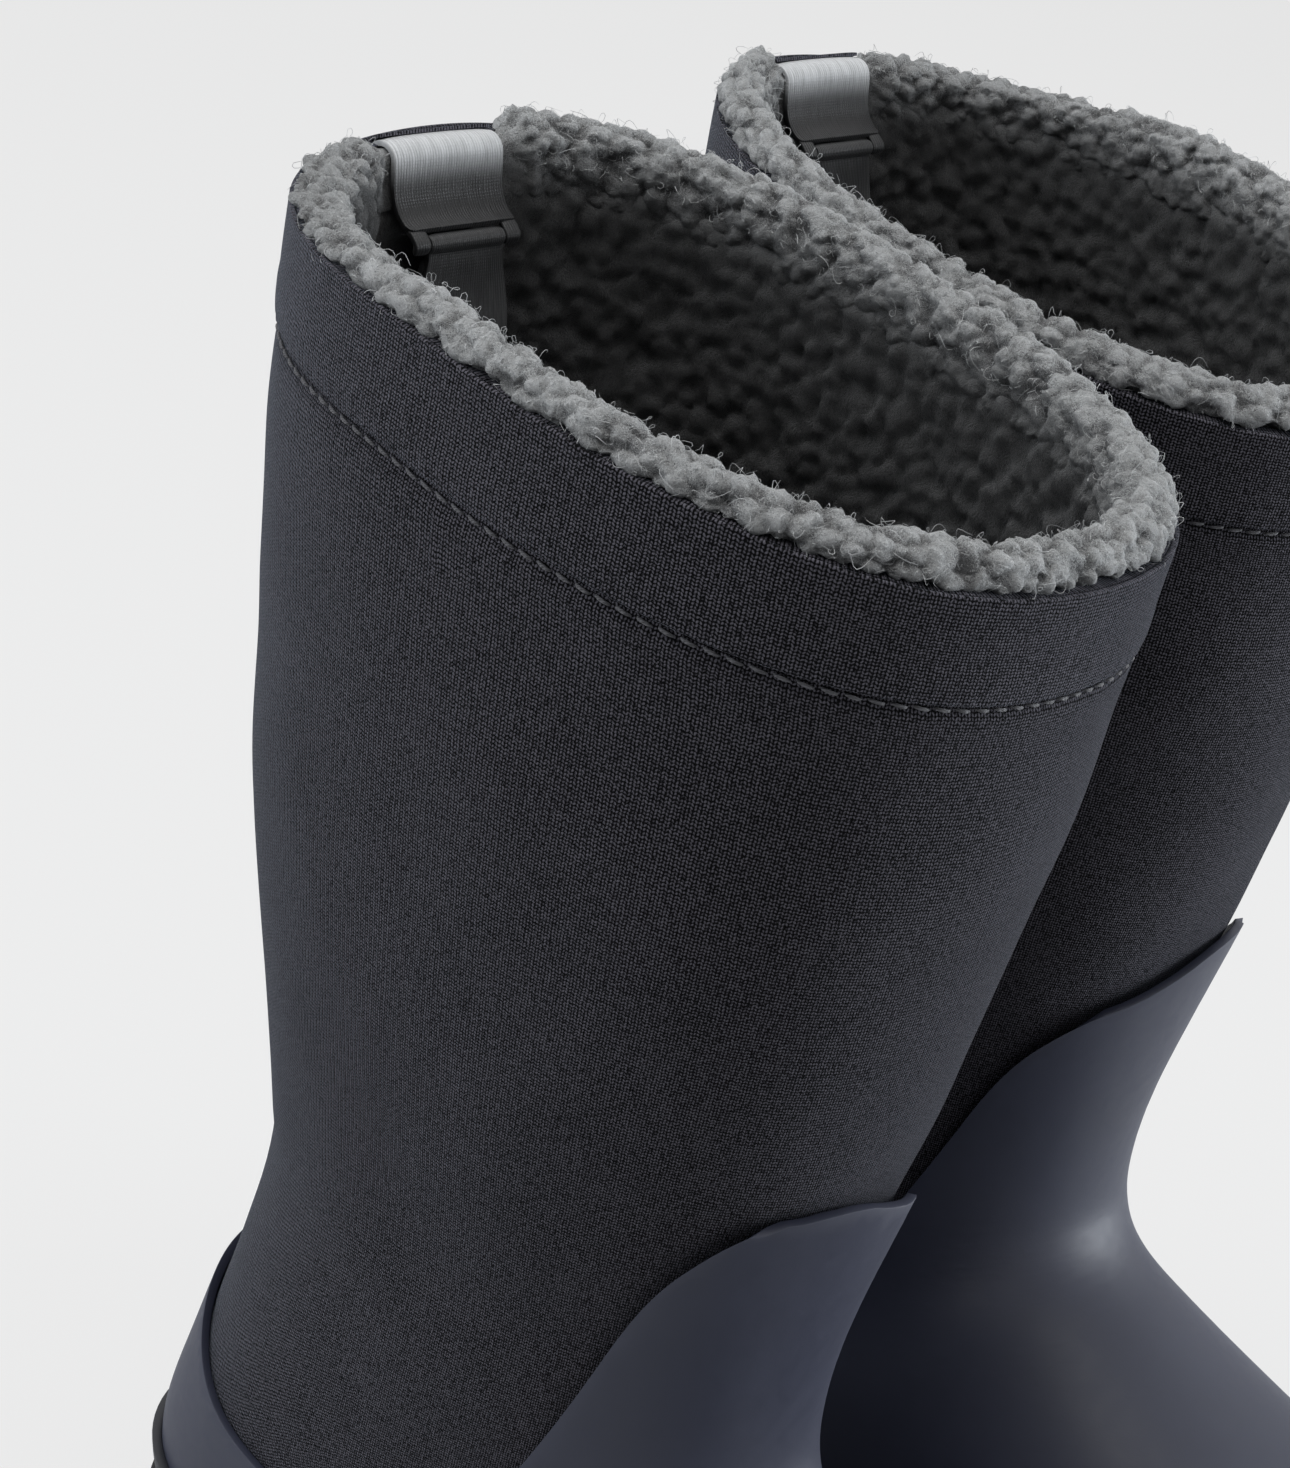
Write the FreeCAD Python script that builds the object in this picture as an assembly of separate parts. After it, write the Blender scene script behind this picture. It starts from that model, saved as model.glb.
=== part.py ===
"""A pair of fleece-lined, pull-on winter yard boots, mid-calf height.

Each boot is built in layers round one lasted form: a padded fabric shaft, a pile lining inside it, moulded
rubber overlays outside it at the instep and the heel, a rubber rand, and a lugged rubber sole with its
foam wedge and shank. A webbing strap is sewn over the rim at the back and carries a swinging pull loop.

Frame: +Z up, toes towards -Y, the left boot on the +X side. The origin is on the floor, under the middle
of the pair. All sizes are in millimetres. A boot is modelled on its own axes, which stand on the floor
under the middle of its rim, and the right boot is the mirror image of the left one.
"""

import FreeCAD, Part
import math
import os

from FreeCAD import Vector

# ---------------------------------------------------------------- driving sizes
RIM_HEIGHT = 295.0  # middle of the rim above the floor
RIM_LENGTH = 152.0  # front to back, outside the fabric
RIM_WIDTH = 118.0
RIM_DROP = 16.8  # how much higher the back of the rim is than its front
RIM_CANT = 4.8  # how much higher its outer side is than its inner one
RIM_POWER = 2.37  # squareness of the rim's oval; 2 is an ellipse
ANKLE_HEIGHT = 130.0
ANKLE_LENGTH = 112.0
ANKLE_WIDTH = 82.0
ANKLE_SET_AHEAD = 5.0  # middle of the ankle ahead of the middle of the rim
ANKLE_POWER = 2.2

HEEL_BACK = 63.0  # back of the heel behind the middle of the rim
FOOT_LENGTH = 282.0  # back of the heel to the tip of the toe, outside the fabric
BALL_WIDTH = 100.0
TOE_BOX_HEIGHT = 68.0  # top of the toe box above the floor
TOE_ROUND = 65.0  # length of the rounded end of the toe
TOE_INSET = 8.0  # how far the tip of the toe leans towards the other boot
TOE_TIP_HEIGHT = 35.0

SEAT_HEIGHT = 29.0  # underside of the upper above the floor, at the heel
BALL_SEAT_HEIGHT = 17.0  # the same at the ball of the foot
TOE_SPRING = 9.0  # lift of the sole's tip off the floor

SHELL = 3.5  # padded fabric
PILE = 6.0  # lining
STIFFENER = 1.4
PUFF = 1.2
BOARD = 2.0
OVERLAY = 1.8
RAND = 2.0
BUMPER = 1.6
FOOTBED = 4.5
FILM = 0.1  # cement between two plies

HEM_DEPTH = 20.0  # rim to the collar band's lower edge
HEM = 1.0  # collar band's ply
HEM_PROUD = 0.3  # how far the band stands out over the fabric below it
GROOVE_WIDTH = 2.0  # sunk stitch line under the band
GROOVE_DEPTH = 0.7
HEEL_TOP_HEIGHT = 106.0  # top of the heel overlay, on the boot's outer side
HEEL_SHOULDER = 62.0  # where its level top ends, behind the middle of the rim
THROAT_TOP_HEIGHT = 173.0  # top of the instep overlay, which climbs the shin
THROAT_SHOULDER = -63.0  # where its level top ends
DIP_HEIGHT = 72.0  # bottom of the fabric's dip between the overlays
DIP_AT = -6.0  # its place behind the middle of the rim, where the overlays butt
OVERLAY_CANT = 0.13  # slope of the overlays' edges, down from the outer side to the inner one
BUTT_GAP = 0.4
FEATHER = 1.0  # overlays and rand start this far above the seat
RAND_RISE = 21.0  # top of the rand above the seat
BUMPER_DROP = 4.0  # top of the toe bumper below the rand's
BUMPER_LENGTH = 36.0  # toe bumper, back from the tip
STIFFENER_HEIGHT = 88.0  # top of the heel stiffener above the floor
STIFFENER_LENGTH = 78.0
PUFF_LENGTH = 58.0
BOARD_EDGE = 2.5  # how far the board's edge turns up

WALL_RISE = 9.0  # sole's wall above the seat
SOLE_MARGIN = 3.2  # sole's wall thickness outside the rand
OUTLINE_HEIGHT = 38.0  # level at which the foot is widest, which the sole's outline follows
TREAD_FLOOR = 8.5  # top of the tread's floor above the ground
HEEL_BREAST = 78.0  # length of the tread's heel
ARCH_LENGTH = 46.0
ARCH_RISE = 4.5
LUG_DEPTH = 4.5
LUG_GAP = 5.0
LUG_PITCH = 15.0
LUG_ANGLE = 16.0
MIDSOLE_SUNK = 3.0  # midsole's edge below the top of the sole's wall
SHANK_START = 42.0  # from the back of the heel
SHANK_LENGTH = 105.0
SHANK_WIDTH = 18.0
SHANK_THICK = 2.4
SHANK_DEPTH = 2.0  # below the seat

ROLL_INSET = 0.8  # roll of pile on the rim, in from the fabric's outside
ROLL_LIFT = 1.2  # middle of the roll above the rim
STRAP_WIDTH = 25.0
STRAP_THICK = 1.6
STRAP_SLACK = 0.5  # air between the strap and the pile
STRAP_DROP = 15.5  # bar tack below the back of the rim
TACK_RADIUS = 1.2
EYE_WIDTH = 17.0  # loop's middle knuckle
LOOP_LENGTH = 46.0
LOOP_GAP = 1.8  # between the loop's two plies
LOOP_PINCH = 6.0  # bar tack's middle to the open part of the loop
LOOP_CLEARANCE = 0.35
LOOP_LEAN = 6.0  # how far the hanging loop stands off the shaft's wall, in degrees

PAIR_GAP = 2.4  # between the two rims
RIGHT_AHEAD = 18.0  # the right boot stands this far ahead of the left

FAR = 400.0  # past everything, for cutting tools

OVERLAY_IN = FILM
OVERLAY_OUT = OVERLAY_IN + OVERLAY
RAND_IN = OVERLAY_OUT + FILM
RAND_OUT = RAND_IN + RAND
BUMPER_IN = RAND_OUT + FILM
LINING_OUT = SHELL + FILM
LINING_IN = SHELL + PILE
ROLL_RADIUS = (LINING_IN - ROLL_INSET) / 2  # down to the lining's inside
PAIR_SPACING = RIM_WIDTH + PAIR_GAP  # between the two boots' middles


# ---------------------------------------------------------------- the lasted form
def seat_height(y):
    """Underside of the upper above the floor: level at the heel, down to the ball, up again at the toe."""
    ball = HEEL_BACK - 0.62 * FOOT_LENGTH
    heel = HEEL_BACK - 0.18 * FOOT_LENGTH
    tip = HEEL_BACK - FOOT_LENGTH
    if y >= heel:
        return SEAT_HEIGHT
    if y >= ball:
        share = (heel - y) / (heel - ball)
        return SEAT_HEIGHT + (BALL_SEAT_HEIGHT - SEAT_HEIGHT) * (1 - math.cos(math.pi * share)) / 2
    share = (ball - y) / (ball - tip)
    return BALL_SEAT_HEIGHT + TOE_SPRING * share * share


def shaft_station(share):
    """A level of the shaft: share is 0 at the ankle and 1 at the rim."""
    flare = math.sin(math.pi / 2 * share)
    half = (ANKLE_LENGTH + (RIM_LENGTH - ANKLE_LENGTH) * flare) / 2
    width = ANKLE_WIDTH + (RIM_WIDTH - ANKLE_WIDTH) * flare
    middle = -ANKLE_SET_AHEAD * (1 - share)
    height = ANKLE_HEIGHT + (RIM_HEIGHT - ANKLE_HEIGHT) * share
    lift = RIM_DROP / 2 * share
    power = ANKLE_POWER + (RIM_POWER - ANKLE_POWER) * share
    return dict(
        top=(middle - half, height - lift),
        bottom=(middle + half, height + lift),
        half_width=width / 2,
        lean=0.0,
        widest=0.5,
        powers=(power, power),
    )


# The turn from shaft to foot: planes that fan out from the throat, down round the heel to the ball.
# Each row: the top point as shares of the foot's length and the ankle's height, the bottom point's share
# of the length, its height above the seat as a share of the ankle's, half width as a share of the ball's
# width, and where the section is widest.
FAN = (
    (0.442, 0.854, 0.025, 0.517, 0.402, 0.50),
    (0.452, 0.801, 0.004, 0.286, 0.398, 0.53),
    (0.468, 0.762, 0.004, 0.083, 0.392, 0.57),
    (0.492, 0.729, 0.072, 0.000, 0.392, 0.60),
    (0.524, 0.699, 0.195, 0.000, 0.402, 0.62),
    (0.566, 0.660, 0.340, 0.000, 0.428, 0.65),
    (0.618, 0.617, 0.480, 0.000, 0.464, 0.68),
    (0.678, 0.572, 0.608, 0.000, 0.496, 0.70),
)
FAN_POWERS = (2.2, 2.6)
FOOT_POWERS = (2.3, 3.6)
TOE_ANGLES = (0.0, 22.0, 42.0, 59.0, 72.0, 81.0)  # round the toe, from the toe box's end to its tip


def fan_station(row, share):
    top_at, top_height, bottom_at, bottom_lift, half_width, widest = row
    bottom_y = HEEL_BACK - bottom_at * FOOT_LENGTH
    return dict(
        top=(HEEL_BACK - top_at * FOOT_LENGTH, top_height * ANKLE_HEIGHT),
        bottom=(bottom_y, seat_height(bottom_y) + bottom_lift * ANKLE_HEIGHT),
        half_width=half_width * BALL_WIDTH,
        lean=0.0,
        widest=widest,
        powers=tuple(a + (b - a) * share for a, b in zip(FAN_POWERS, FOOT_POWERS)),
    )


def toe_station(angle, outset):
    """A section of the rounded toe: its width and height close in like the end of an oval."""
    turn = math.radians(angle)
    start = HEEL_BACK - FOOT_LENGTH + TOE_ROUND
    y = start - (TOE_ROUND + outset) * math.sin(turn)
    close = math.cos(turn)
    rise = TOE_BOX_HEIGHT - TOE_TIP_HEIGHT + outset
    fall = TOE_TIP_HEIGHT - seat_height(start) + outset
    return dict(
        top=(y, TOE_TIP_HEIGHT + rise * close**0.75),
        bottom=(y, TOE_TIP_HEIGHT - fall * close**0.6),
        half_width=(BALL_WIDTH / 2 + outset) * close**0.95,
        lean=-TOE_INSET * math.sin(turn) ** 2,
        widest=rise / (rise + fall),
        powers=FOOT_POWERS,
    )


SHAFT = [shaft_station(share) for share in (1.0, 0.8, 0.6, 0.4, 0.2, 0.0)]
INSTEP = [fan_station(row, (i + 1) / len(FAN)) for i, row in enumerate(FAN)]
POINTS_ROUND = 24
SPLINE_PULL = (2 + math.cos(2 * math.pi / POINTS_ROUND)) / 3  # a closed cubic's radius over its net's
RIM_SPARE = 14.0  # the form runs on past the rim, where every layer is trimmed


def section_net(station):
    """Control points of one section of the form, round from the outer side."""
    top = Vector(0, *station["top"])
    bottom = Vector(0, *station["bottom"])
    down = (bottom - top).normalize()
    centre = top + (bottom - top) * station["widest"]
    reaches = ((centre - top).Length, (bottom - centre).Length)
    points = []
    for k in range(POINTS_ROUND):
        turn = 2 * math.pi * k / POINTS_ROUND
        c, s = math.cos(turn), math.sin(turn)
        half = 1 if s > 0 else 0
        power = station["powers"][half]
        x = math.copysign(abs(c) ** (2 / power), c) * station["half_width"]
        v = math.copysign(abs(s) ** (2 / power), s) * reaches[half]
        points.append(centre + Vector(station["lean"], 0, 0) + (Vector(x, 0, 0) + down * v) / SPLINE_PULL)
    return points


def form_net(outset):
    """The form's control net: shaft and instep moved out along the net's own normals, then the toe."""
    rim = SHAFT[0]
    axis = Vector(0, rim["bottom"][0] - rim["top"][0], rim["bottom"][1] - rim["top"][1]).normalize()
    up = Vector(1, 0, 0).cross(axis)
    rows = [section_net(station) for station in SHAFT + INSTEP]
    spare = [point + up * (RIM_SPARE - outset) for point in rows[0]]
    ahead = section_net(toe_station(TOE_ANGLES[0], 0))
    rows = [spare] + rows + [ahead]
    moved = []
    for i, row in enumerate(rows[:-1]):
        before, after = rows[max(i - 1, 0)], rows[i + 1]
        new_row = []
        for k, point in enumerate(row):
            along = after[k] - before[k]
            around = row[(k + 1) % POINTS_ROUND] - row[k - 1]
            normal = along.cross(around).normalize()
            if i == 0:
                normal = (normal - up * normal.dot(up)).normalize()
            new_row.append(point + normal * outset)
        moved.append(new_row)
    return moved + [section_net(toe_station(angle, outset)) for angle in TOE_ANGLES]


def sewn_solid(faces):
    shell = Part.Shell(faces)
    shell.sewShape()
    solid = Part.Solid(shell)
    if solid.Volume < 0:
        solid.reverse()
    return solid


def patches(surface, along, around):
    """The surface in halves each way round, so that no face closes on itself."""
    steps = [(0.0, along)] if not surface.isUPeriodic() else [(0.0, along / 2), (along / 2, along)]
    return [surface.toShape(a, b, c, c + around / 2) for a, b in steps for c in (0.0, around / 2)]


FORMS = {}


def form(outset):
    """The whole boot form as a solid, moved out by 'outset' (in, where it is negative)."""
    key = round(outset, 4)
    if key not in FORMS:
        net = form_net(outset)
        rows = len(net)
        surface = Part.BSplineSurface()
        surface.buildFromPolesMultsKnots(
            net,
            [4] + [1] * (rows - 4) + [4],
            [1] * (POINTS_ROUND + 1),
            [float(i) for i in range(rows - 2)],
            [float(i) for i in range(POINTS_ROUND + 1)],
            False,
            True,
            3,
            3,
        )
        along, around = float(rows - 3), float(POINTS_ROUND)
        caps = []
        for end in (0.0, along):
            edge = surface.uIso(end)
            halves = [edge.toShape(a, a + around / 2) for a in (0.0, around / 2)]
            caps.append(Part.Face(Part.Wire(halves)))
        FORMS[key] = sewn_solid(patches(surface, along, around) + caps)
    return FORMS[key]


def layer(outer, inner):
    """Ply between two moved-out forms."""
    return form(outer).cut(form(inner))


# ---------------------------------------------------------------- cutting tools
def side_region(points, *curve, cant=0.0):
    """Solid that covers, right across the boot, the area that a side view's outline closes.

    'points' are straight corners (y, z); 'curve' is a smooth stretch from the last of them to the first.
    With a cant the outline holds at the ankle's outer side, and slopes down towards the inner one.
    """
    drop = cant * (FAR + ANKLE_WIDTH / 2)
    corners = [Vector(-FAR, y, z - drop) for y, z in points]
    edges = [Part.makeLine(a, b) for a, b in zip(corners, corners[1:])]
    if curve:
        smooth = Part.BSplineCurve()
        smooth.interpolate([corners[-1]] + [Vector(-FAR, y, z - drop) for y, z in curve] + [corners[0]])
        edges.append(smooth.toShape())
    else:
        edges.append(Part.makeLine(corners[-1], corners[0]))
    return Part.Face(Part.Wire(edges)).extrude(Vector(2 * FAR, 0, 2 * FAR * cant))


def above_rim(depth):
    """Everything above the plane that lies 'depth' under the rim."""
    normal = Vector(-RIM_CANT / RIM_WIDTH, -RIM_DROP / RIM_LENGTH, 1).normalize()
    start = Vector(0, 0, RIM_HEIGHT) - normal * depth
    box = Part.makeBox(2 * FAR, 2 * FAR, FAR, Vector(-FAR, -FAR, 0))
    box.Placement = FreeCAD.Placement(start, FreeCAD.Rotation(Vector(0, 0, 1), normal))
    return box


def above_seat(lift):
    """Everything above the line of the seat, raised by 'lift'."""
    start = HEEL_BACK + 30
    step = (FOOT_LENGTH + 60) / 12
    line = [(start - step * i, seat_height(start - step * i) + lift) for i in range(13)]
    return side_region([line[-1], (line[-1][0], FAR), (start, FAR), line[0]], *line[1:-1])


def band_over_seat(low, high):
    return above_seat(low).cut(above_seat(high))


# How an overlay's edge rises out of the dip: shares of the way along, and of the way up.
THROAT_EDGE = ((0.30, 0.10), (0.52, 0.33), (0.70, 0.63), (0.80, 0.80), (0.91, 0.93))
HEEL_EDGE = ((0.35, 0.11), (0.56, 0.28), (0.73, 0.52), (0.87, 0.81), (0.95, 0.95))


def overlay_region(edge, shoulder, top, end, gap):
    """Under an overlay's edge, from the butt line out past 'end'."""
    side = math.copysign(gap, end)
    rise = [
        (DIP_AT + side + (shoulder - DIP_AT - side) * along, DIP_HEIGHT + (top - DIP_HEIGHT) * up)
        for along, up in edge
    ]
    corners = [(shoulder, top), (end, top), (end, -FAR), (DIP_AT + side, -FAR), (DIP_AT + side, DIP_HEIGHT)]
    return side_region(corners, *rise, cant=OVERLAY_CANT)


# ---------------------------------------------------------------- the upper
def shaft():
    """Padded fabric, lasted right round the foot, thinner under the collar band."""
    body = layer(0, -SHELL).cut(above_rim(0))
    band_seat = above_rim(HEM_DEPTH + FILM).cut(form(HEM_PROUD - HEM - FILM))
    groove = above_rim(HEM_DEPTH + GROOVE_WIDTH).cut(above_rim(HEM_DEPTH)).cut(form(-GROOVE_DEPTH))
    return body.cut(band_seat).cut(groove)


def collar_band():
    """Knitted band round the top of the shaft, down to the sunk stitch line."""
    return layer(HEM_PROUD, HEM_PROUD - HEM).common(above_rim(HEM_DEPTH)).cut(above_rim(0))


def heel_overlay():
    region = overlay_region(HEEL_EDGE, HEEL_SHOULDER, HEEL_TOP_HEIGHT, FAR, BUTT_GAP / 2)
    return layer(OVERLAY_OUT, OVERLAY_IN).common(region).common(above_seat(FEATHER))


def instep_overlay():
    region = overlay_region(THROAT_EDGE, THROAT_SHOULDER, THROAT_TOP_HEIGHT, -FAR, BUTT_GAP / 2)
    return layer(OVERLAY_OUT, OVERLAY_IN).common(region).common(above_seat(FEATHER))


def rand():
    """Rubber strip round the foot, over the overlays' lower edges."""
    return layer(RAND_OUT, RAND_IN).common(band_over_seat(FEATHER, RAND_RISE))


def toe_bumper():
    """Second ply over the toe, seated on the sole's wall."""
    back = HEEL_BACK - FOOT_LENGTH + BUMPER_LENGTH
    front = side_region([(back, -FAR), (back, FAR), (-FAR, FAR), (-FAR, -FAR)])
    band = band_over_seat(WALL_RISE + FILM, RAND_RISE - BUMPER_DROP)
    return layer(BUMPER_IN + BUMPER, BUMPER_IN).common(band).common(front)


# ---------------------------------------------------------------- inside the upper
def heel_stiffener():
    """Moulded cup between fabric and lining, round the back of the heel."""
    return layer(-LINING_OUT, -LINING_OUT - STIFFENER).common(stiffener_region(0))


def stiffener_region(grow):
    start = HEEL_BACK - STIFFENER_LENGTH - grow
    low = SEAT_HEIGHT + SHELL + BOARD + BOARD_EDGE + 2 * FILM - grow
    top = STIFFENER_HEIGHT + grow
    corners = [(HEEL_BACK + FILM, top), (FAR, top), (FAR, low), (start, low)]
    fall = [(start + STIFFENER_LENGTH * 0.10, low + (top - low) * 0.45)]
    fall.append((start + STIFFENER_LENGTH * 0.45, low + (top - low) * 0.90))
    return side_region(corners, *fall)


def toe_puff():
    """Moulded cap between fabric and lining, over the toes."""
    return layer(-LINING_OUT, -LINING_OUT - PUFF).common(puff_region(0))


def puff_region(grow):
    back = HEEL_BACK - FOOT_LENGTH + PUFF_LENGTH + grow
    front = side_region([(back, -FAR), (back, FAR), (-FAR, FAR), (-FAR, -FAR)])
    return front.common(above_seat(SHELL + BOARD + BOARD_EDGE + 2 * FILM - grow))


def insole_board():
    """Stiff board that the fabric is lasted round."""
    return layer(-LINING_OUT, -LINING_OUT - BOARD).cut(above_seat(SHELL + BOARD + BOARD_EDGE))


def footbed():
    """Loose insert in the bottom of the lining."""
    return form(-LINING_IN - FILM).cut(above_seat(LINING_IN + FOOTBED))


RING_POINTS = 32
RING_SECTION = 8


def ring_surface(radius):
    """Closed ring of pile on the rim's oval, as a surface of control points."""
    count, around = RING_POINTS, RING_SECTION
    pull = (2 + math.cos(2 * math.pi / around)) / 3
    half_width = RIM_WIDTH / 2 - ROLL_INSET - ROLL_RADIUS
    half_length = RIM_LENGTH / 2 - ROLL_INSET - ROLL_RADIUS
    net = []
    for k in range(count):
        turn = 2 * math.pi * k / count
        c, s = math.cos(turn), math.sin(turn)
        x = math.copysign(abs(c) ** (2 / RIM_POWER), c) * half_width
        y = math.copysign(abs(s) ** (2 / RIM_POWER), s) * half_length
        z = RIM_HEIGHT + ROLL_LIFT + x * RIM_CANT / RIM_WIDTH + y * RIM_DROP / RIM_LENGTH
        out = Vector(c / half_width, s / half_length, 0).normalize()
        row = []
        for j in range(around):
            tilt = 2 * math.pi * j / around
            row.append(Vector(x, y, z) + (out * math.cos(tilt) + Vector(0, 0, math.sin(tilt))) * (radius / pull))
        net.append(row)
    surface = Part.BSplineSurface()
    ones = [1] * (count + 1), [1] * (around + 1)
    knots = [float(i) for i in range(count + 1)], [float(i) for i in range(around + 1)]
    surface.buildFromPolesMultsKnots(net, *ones, *knots, True, True, 3, 3)
    return surface


def rim_ring(radius):
    """Solid ring of pile on the rim's oval."""
    return sewn_solid(patches(ring_surface(radius), float(RING_POINTS), float(RING_SECTION)))


def under_rim(outset):
    """Everything outside a form and under the rim, with a film's room."""
    around = Part.makeBox(2 * FAR, 2 * FAR, FAR, Vector(-FAR, -FAR, RIM_HEIGHT - FAR / 4))
    return around.cut(form(outset)).cut(above_rim(-FILM))


def lining():
    """Pile sock inside the fabric, turned out over the rim in a roll, and thinner over what is hidden in it."""
    sock = layer(-LINING_OUT, -LINING_IN).cut(above_rim(0))
    sock = sock.fuse(rim_ring(ROLL_RADIUS)).cut(under_rim(-SHELL - FILM / 2))
    hidden = (
        (STIFFENER, stiffener_region(FILM)),
        (PUFF, puff_region(FILM)),
    )
    for thick, region in hidden:
        sock = sock.cut(region.cut(form(-LINING_OUT - thick - FILM)))
    under = form(0).cut(above_seat(SHELL + BOARD + BOARD_EDGE + FILM))
    return sock.cut(under.cut(form(-LINING_OUT - BOARD - FILM)))


# ---------------------------------------------------------------- the sole
def plan_outline(outset):
    """Face on the ground with the foot's widest outline, moved out by 'outset'."""
    wire = form(outset).slice(Vector(0, 0, 1), OUTLINE_HEIGHT)[0]
    points = [Vector(p.x, p.y, 0) for p in wire.discretize(Number=37)[:-1]]
    curve = Part.BSplineCurve()
    curve.interpolate(Points=points, PeriodicFlag=True)
    return Part.Face(Part.Wire([curve.toShape()]))


def tread_line(lift):
    """Side view of the ground line, raised by 'lift': heel, arch, ball and toe spring."""
    back = HEEL_BACK + 30
    breast = HEEL_BACK - HEEL_BREAST
    ball = breast - ARCH_LENGTH
    spring = HEEL_BACK - 0.80 * FOOT_LENGTH
    tip = HEEL_BACK - FOOT_LENGTH - 20
    arch = [(breast, lift), (breast - 8, ARCH_RISE + lift), (ball + 14, ARCH_RISE + lift), (ball, lift)]
    toe = [(spring, lift), ((spring + tip) / 2, TOE_SPRING * 0.32 + lift), (tip, TOE_SPRING * 1.4 + lift)]
    return [(back, lift)] + arch + toe


def above_tread(lift):
    line = tread_line(lift)
    return side_region([(line[-1][0], FAR), (line[0][0], FAR)] + line)


def tread_grooves():
    """Gaps between the lugs: chevrons across the heel and forefoot, and a channel down the middle."""
    heel = [HEEL_BACK - 20 - LUG_PITCH * i for i in range(int((HEEL_BREAST - 30) // LUG_PITCH) + 1)]
    ball = HEEL_BACK - HEEL_BREAST - ARCH_LENGTH
    room = FOOT_LENGTH - HEEL_BREAST - ARCH_LENGTH - 30
    front = [ball - 12 - LUG_PITCH * i for i in range(int(room // LUG_PITCH) + 1)]
    bars = []
    for y in heel + front:
        for side in (1, -1):
            bar = Part.makeBox(FAR, LUG_GAP, FAR, Vector(0, -LUG_GAP / 2, -FAR / 2))
            bar.rotate(Vector(0, 0, 0), Vector(0, 0, 1), LUG_ANGLE if side > 0 else 180 - LUG_ANGLE)
            bar.translate(Vector(0, y, 0))
            bars.append(bar)
    channel = Part.makeBox(LUG_GAP, FAR, FAR, Vector(-LUG_GAP / 2, ball - FAR, -FAR / 2))
    return bars + [channel]


def upper_space():
    """What the sole has to leave free: the fabric below, the rand above."""
    return form(FILM).fuse(form(RAND_OUT + FILM).common(above_seat(FEATHER - FILM)))


def outsole():
    """Rubber cup: lugged tread, floor, and a wall up round the rand."""
    block = plan_outline(RAND_OUT + SOLE_MARGIN).extrude(Vector(0, 0, FAR / 4))
    block = block.common(above_tread(0)).cut(above_seat(WALL_RISE))
    cavity = plan_outline(RAND_OUT + FILM).extrude(Vector(0, 0, FAR / 4))
    block = block.cut(cavity.common(above_tread(TREAD_FLOOR))).cut(upper_space())
    for groove in tread_grooves():
        block = block.cut(groove.cut(above_tread(LUG_DEPTH)))
    return block


def midsole():
    """Foam wedge in the outsole's cup, thick at the heel, with a slot for the shank."""
    foam = plan_outline(RAND_OUT).extrude(Vector(0, 0, FAR / 4)).common(above_tread(TREAD_FLOOR + FILM))
    foam = foam.cut(above_seat(WALL_RISE - MIDSOLE_SUNK)).cut(upper_space())
    return foam.cut(shank(FILM))


def shank(grow=0.0):
    """Steel strip under the arch, bent to the line of the seat."""
    start = HEEL_BACK - SHANK_START + grow
    end = start - SHANK_LENGTH - 2 * grow
    half = SHANK_WIDTH / 2 + grow
    plan = Part.makeBox(2 * half, start - end - 2 * half, FAR, Vector(-half, end + half, 0))
    for y in (start - half, end + half):
        plan = plan.fuse(Part.makeCylinder(half, FAR, Vector(0, y, 0)))
    return plan.common(band_over_seat(-SHANK_DEPTH - SHANK_THICK - grow, -SHANK_DEPTH + grow))


# ---------------------------------------------------------------- the pull loop
def back_wall(outset, z, x):
    """Where the form's back wall lies, at a height and a distance from the middle."""
    probe = Part.makeLine(Vector(x, 0, z), Vector(x, FAR, z)).common(form(outset))
    return probe.BoundBox.YMax


def tack_centre():
    z = RIM_HEIGHT + RIM_DROP / 2 - STRAP_DROP
    face = back_wall(-LINING_IN - STRAP_SLACK - STRAP_THICK, z, EYE_WIDTH / 2)
    return Vector(0, face - TACK_RADIUS - STRAP_THICK - LOOP_CLEARANCE, z)


def across(radius, centre, width):
    """Cylinder lying across the boot."""
    return Part.makeCylinder(radius, width, centre - Vector(width / 2, 0, 0), Vector(1, 0, 0))


def pull_strap():
    """Webbing from the rim seam, over the roll and down to the bar tack, with a knuckle at each side."""
    centre = tack_centre()
    face = -LINING_IN - STRAP_SLACK
    radius = ROLL_RADIUS + STRAP_SLACK
    strip = Part.makeBox(STRAP_WIDTH, FAR, FAR, Vector(-STRAP_WIDTH / 2, 30, centre.z))
    over = rim_ring(radius + STRAP_THICK).common(strip).cut(rim_ring(radius))
    down = form(face).common(strip).cut(above_rim(0)).cut(form(face - STRAP_THICK))
    ribbon = over.fuse(down.cut(rim_ring(radius))).cut(under_rim(face + FILM / 2).common(strip))
    width = (STRAP_WIDTH - EYE_WIDTH) / 2 - LOOP_CLEARANCE
    for side in (1, -1):
        middle = centre + Vector(side * (STRAP_WIDTH - width) / 2, 0, 0)
        ribbon = ribbon.fuse(across(TACK_RADIUS + STRAP_THICK, middle, width).common(form(face)))
    return ribbon.cut(across(TACK_RADIUS + FILM / 2, centre, 2 * STRAP_WIDTH))


def loop_tack():
    """Bar tack of thread that joins the strap and the loop."""
    return across(TACK_RADIUS, tack_centre(), STRAP_WIDTH)


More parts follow.
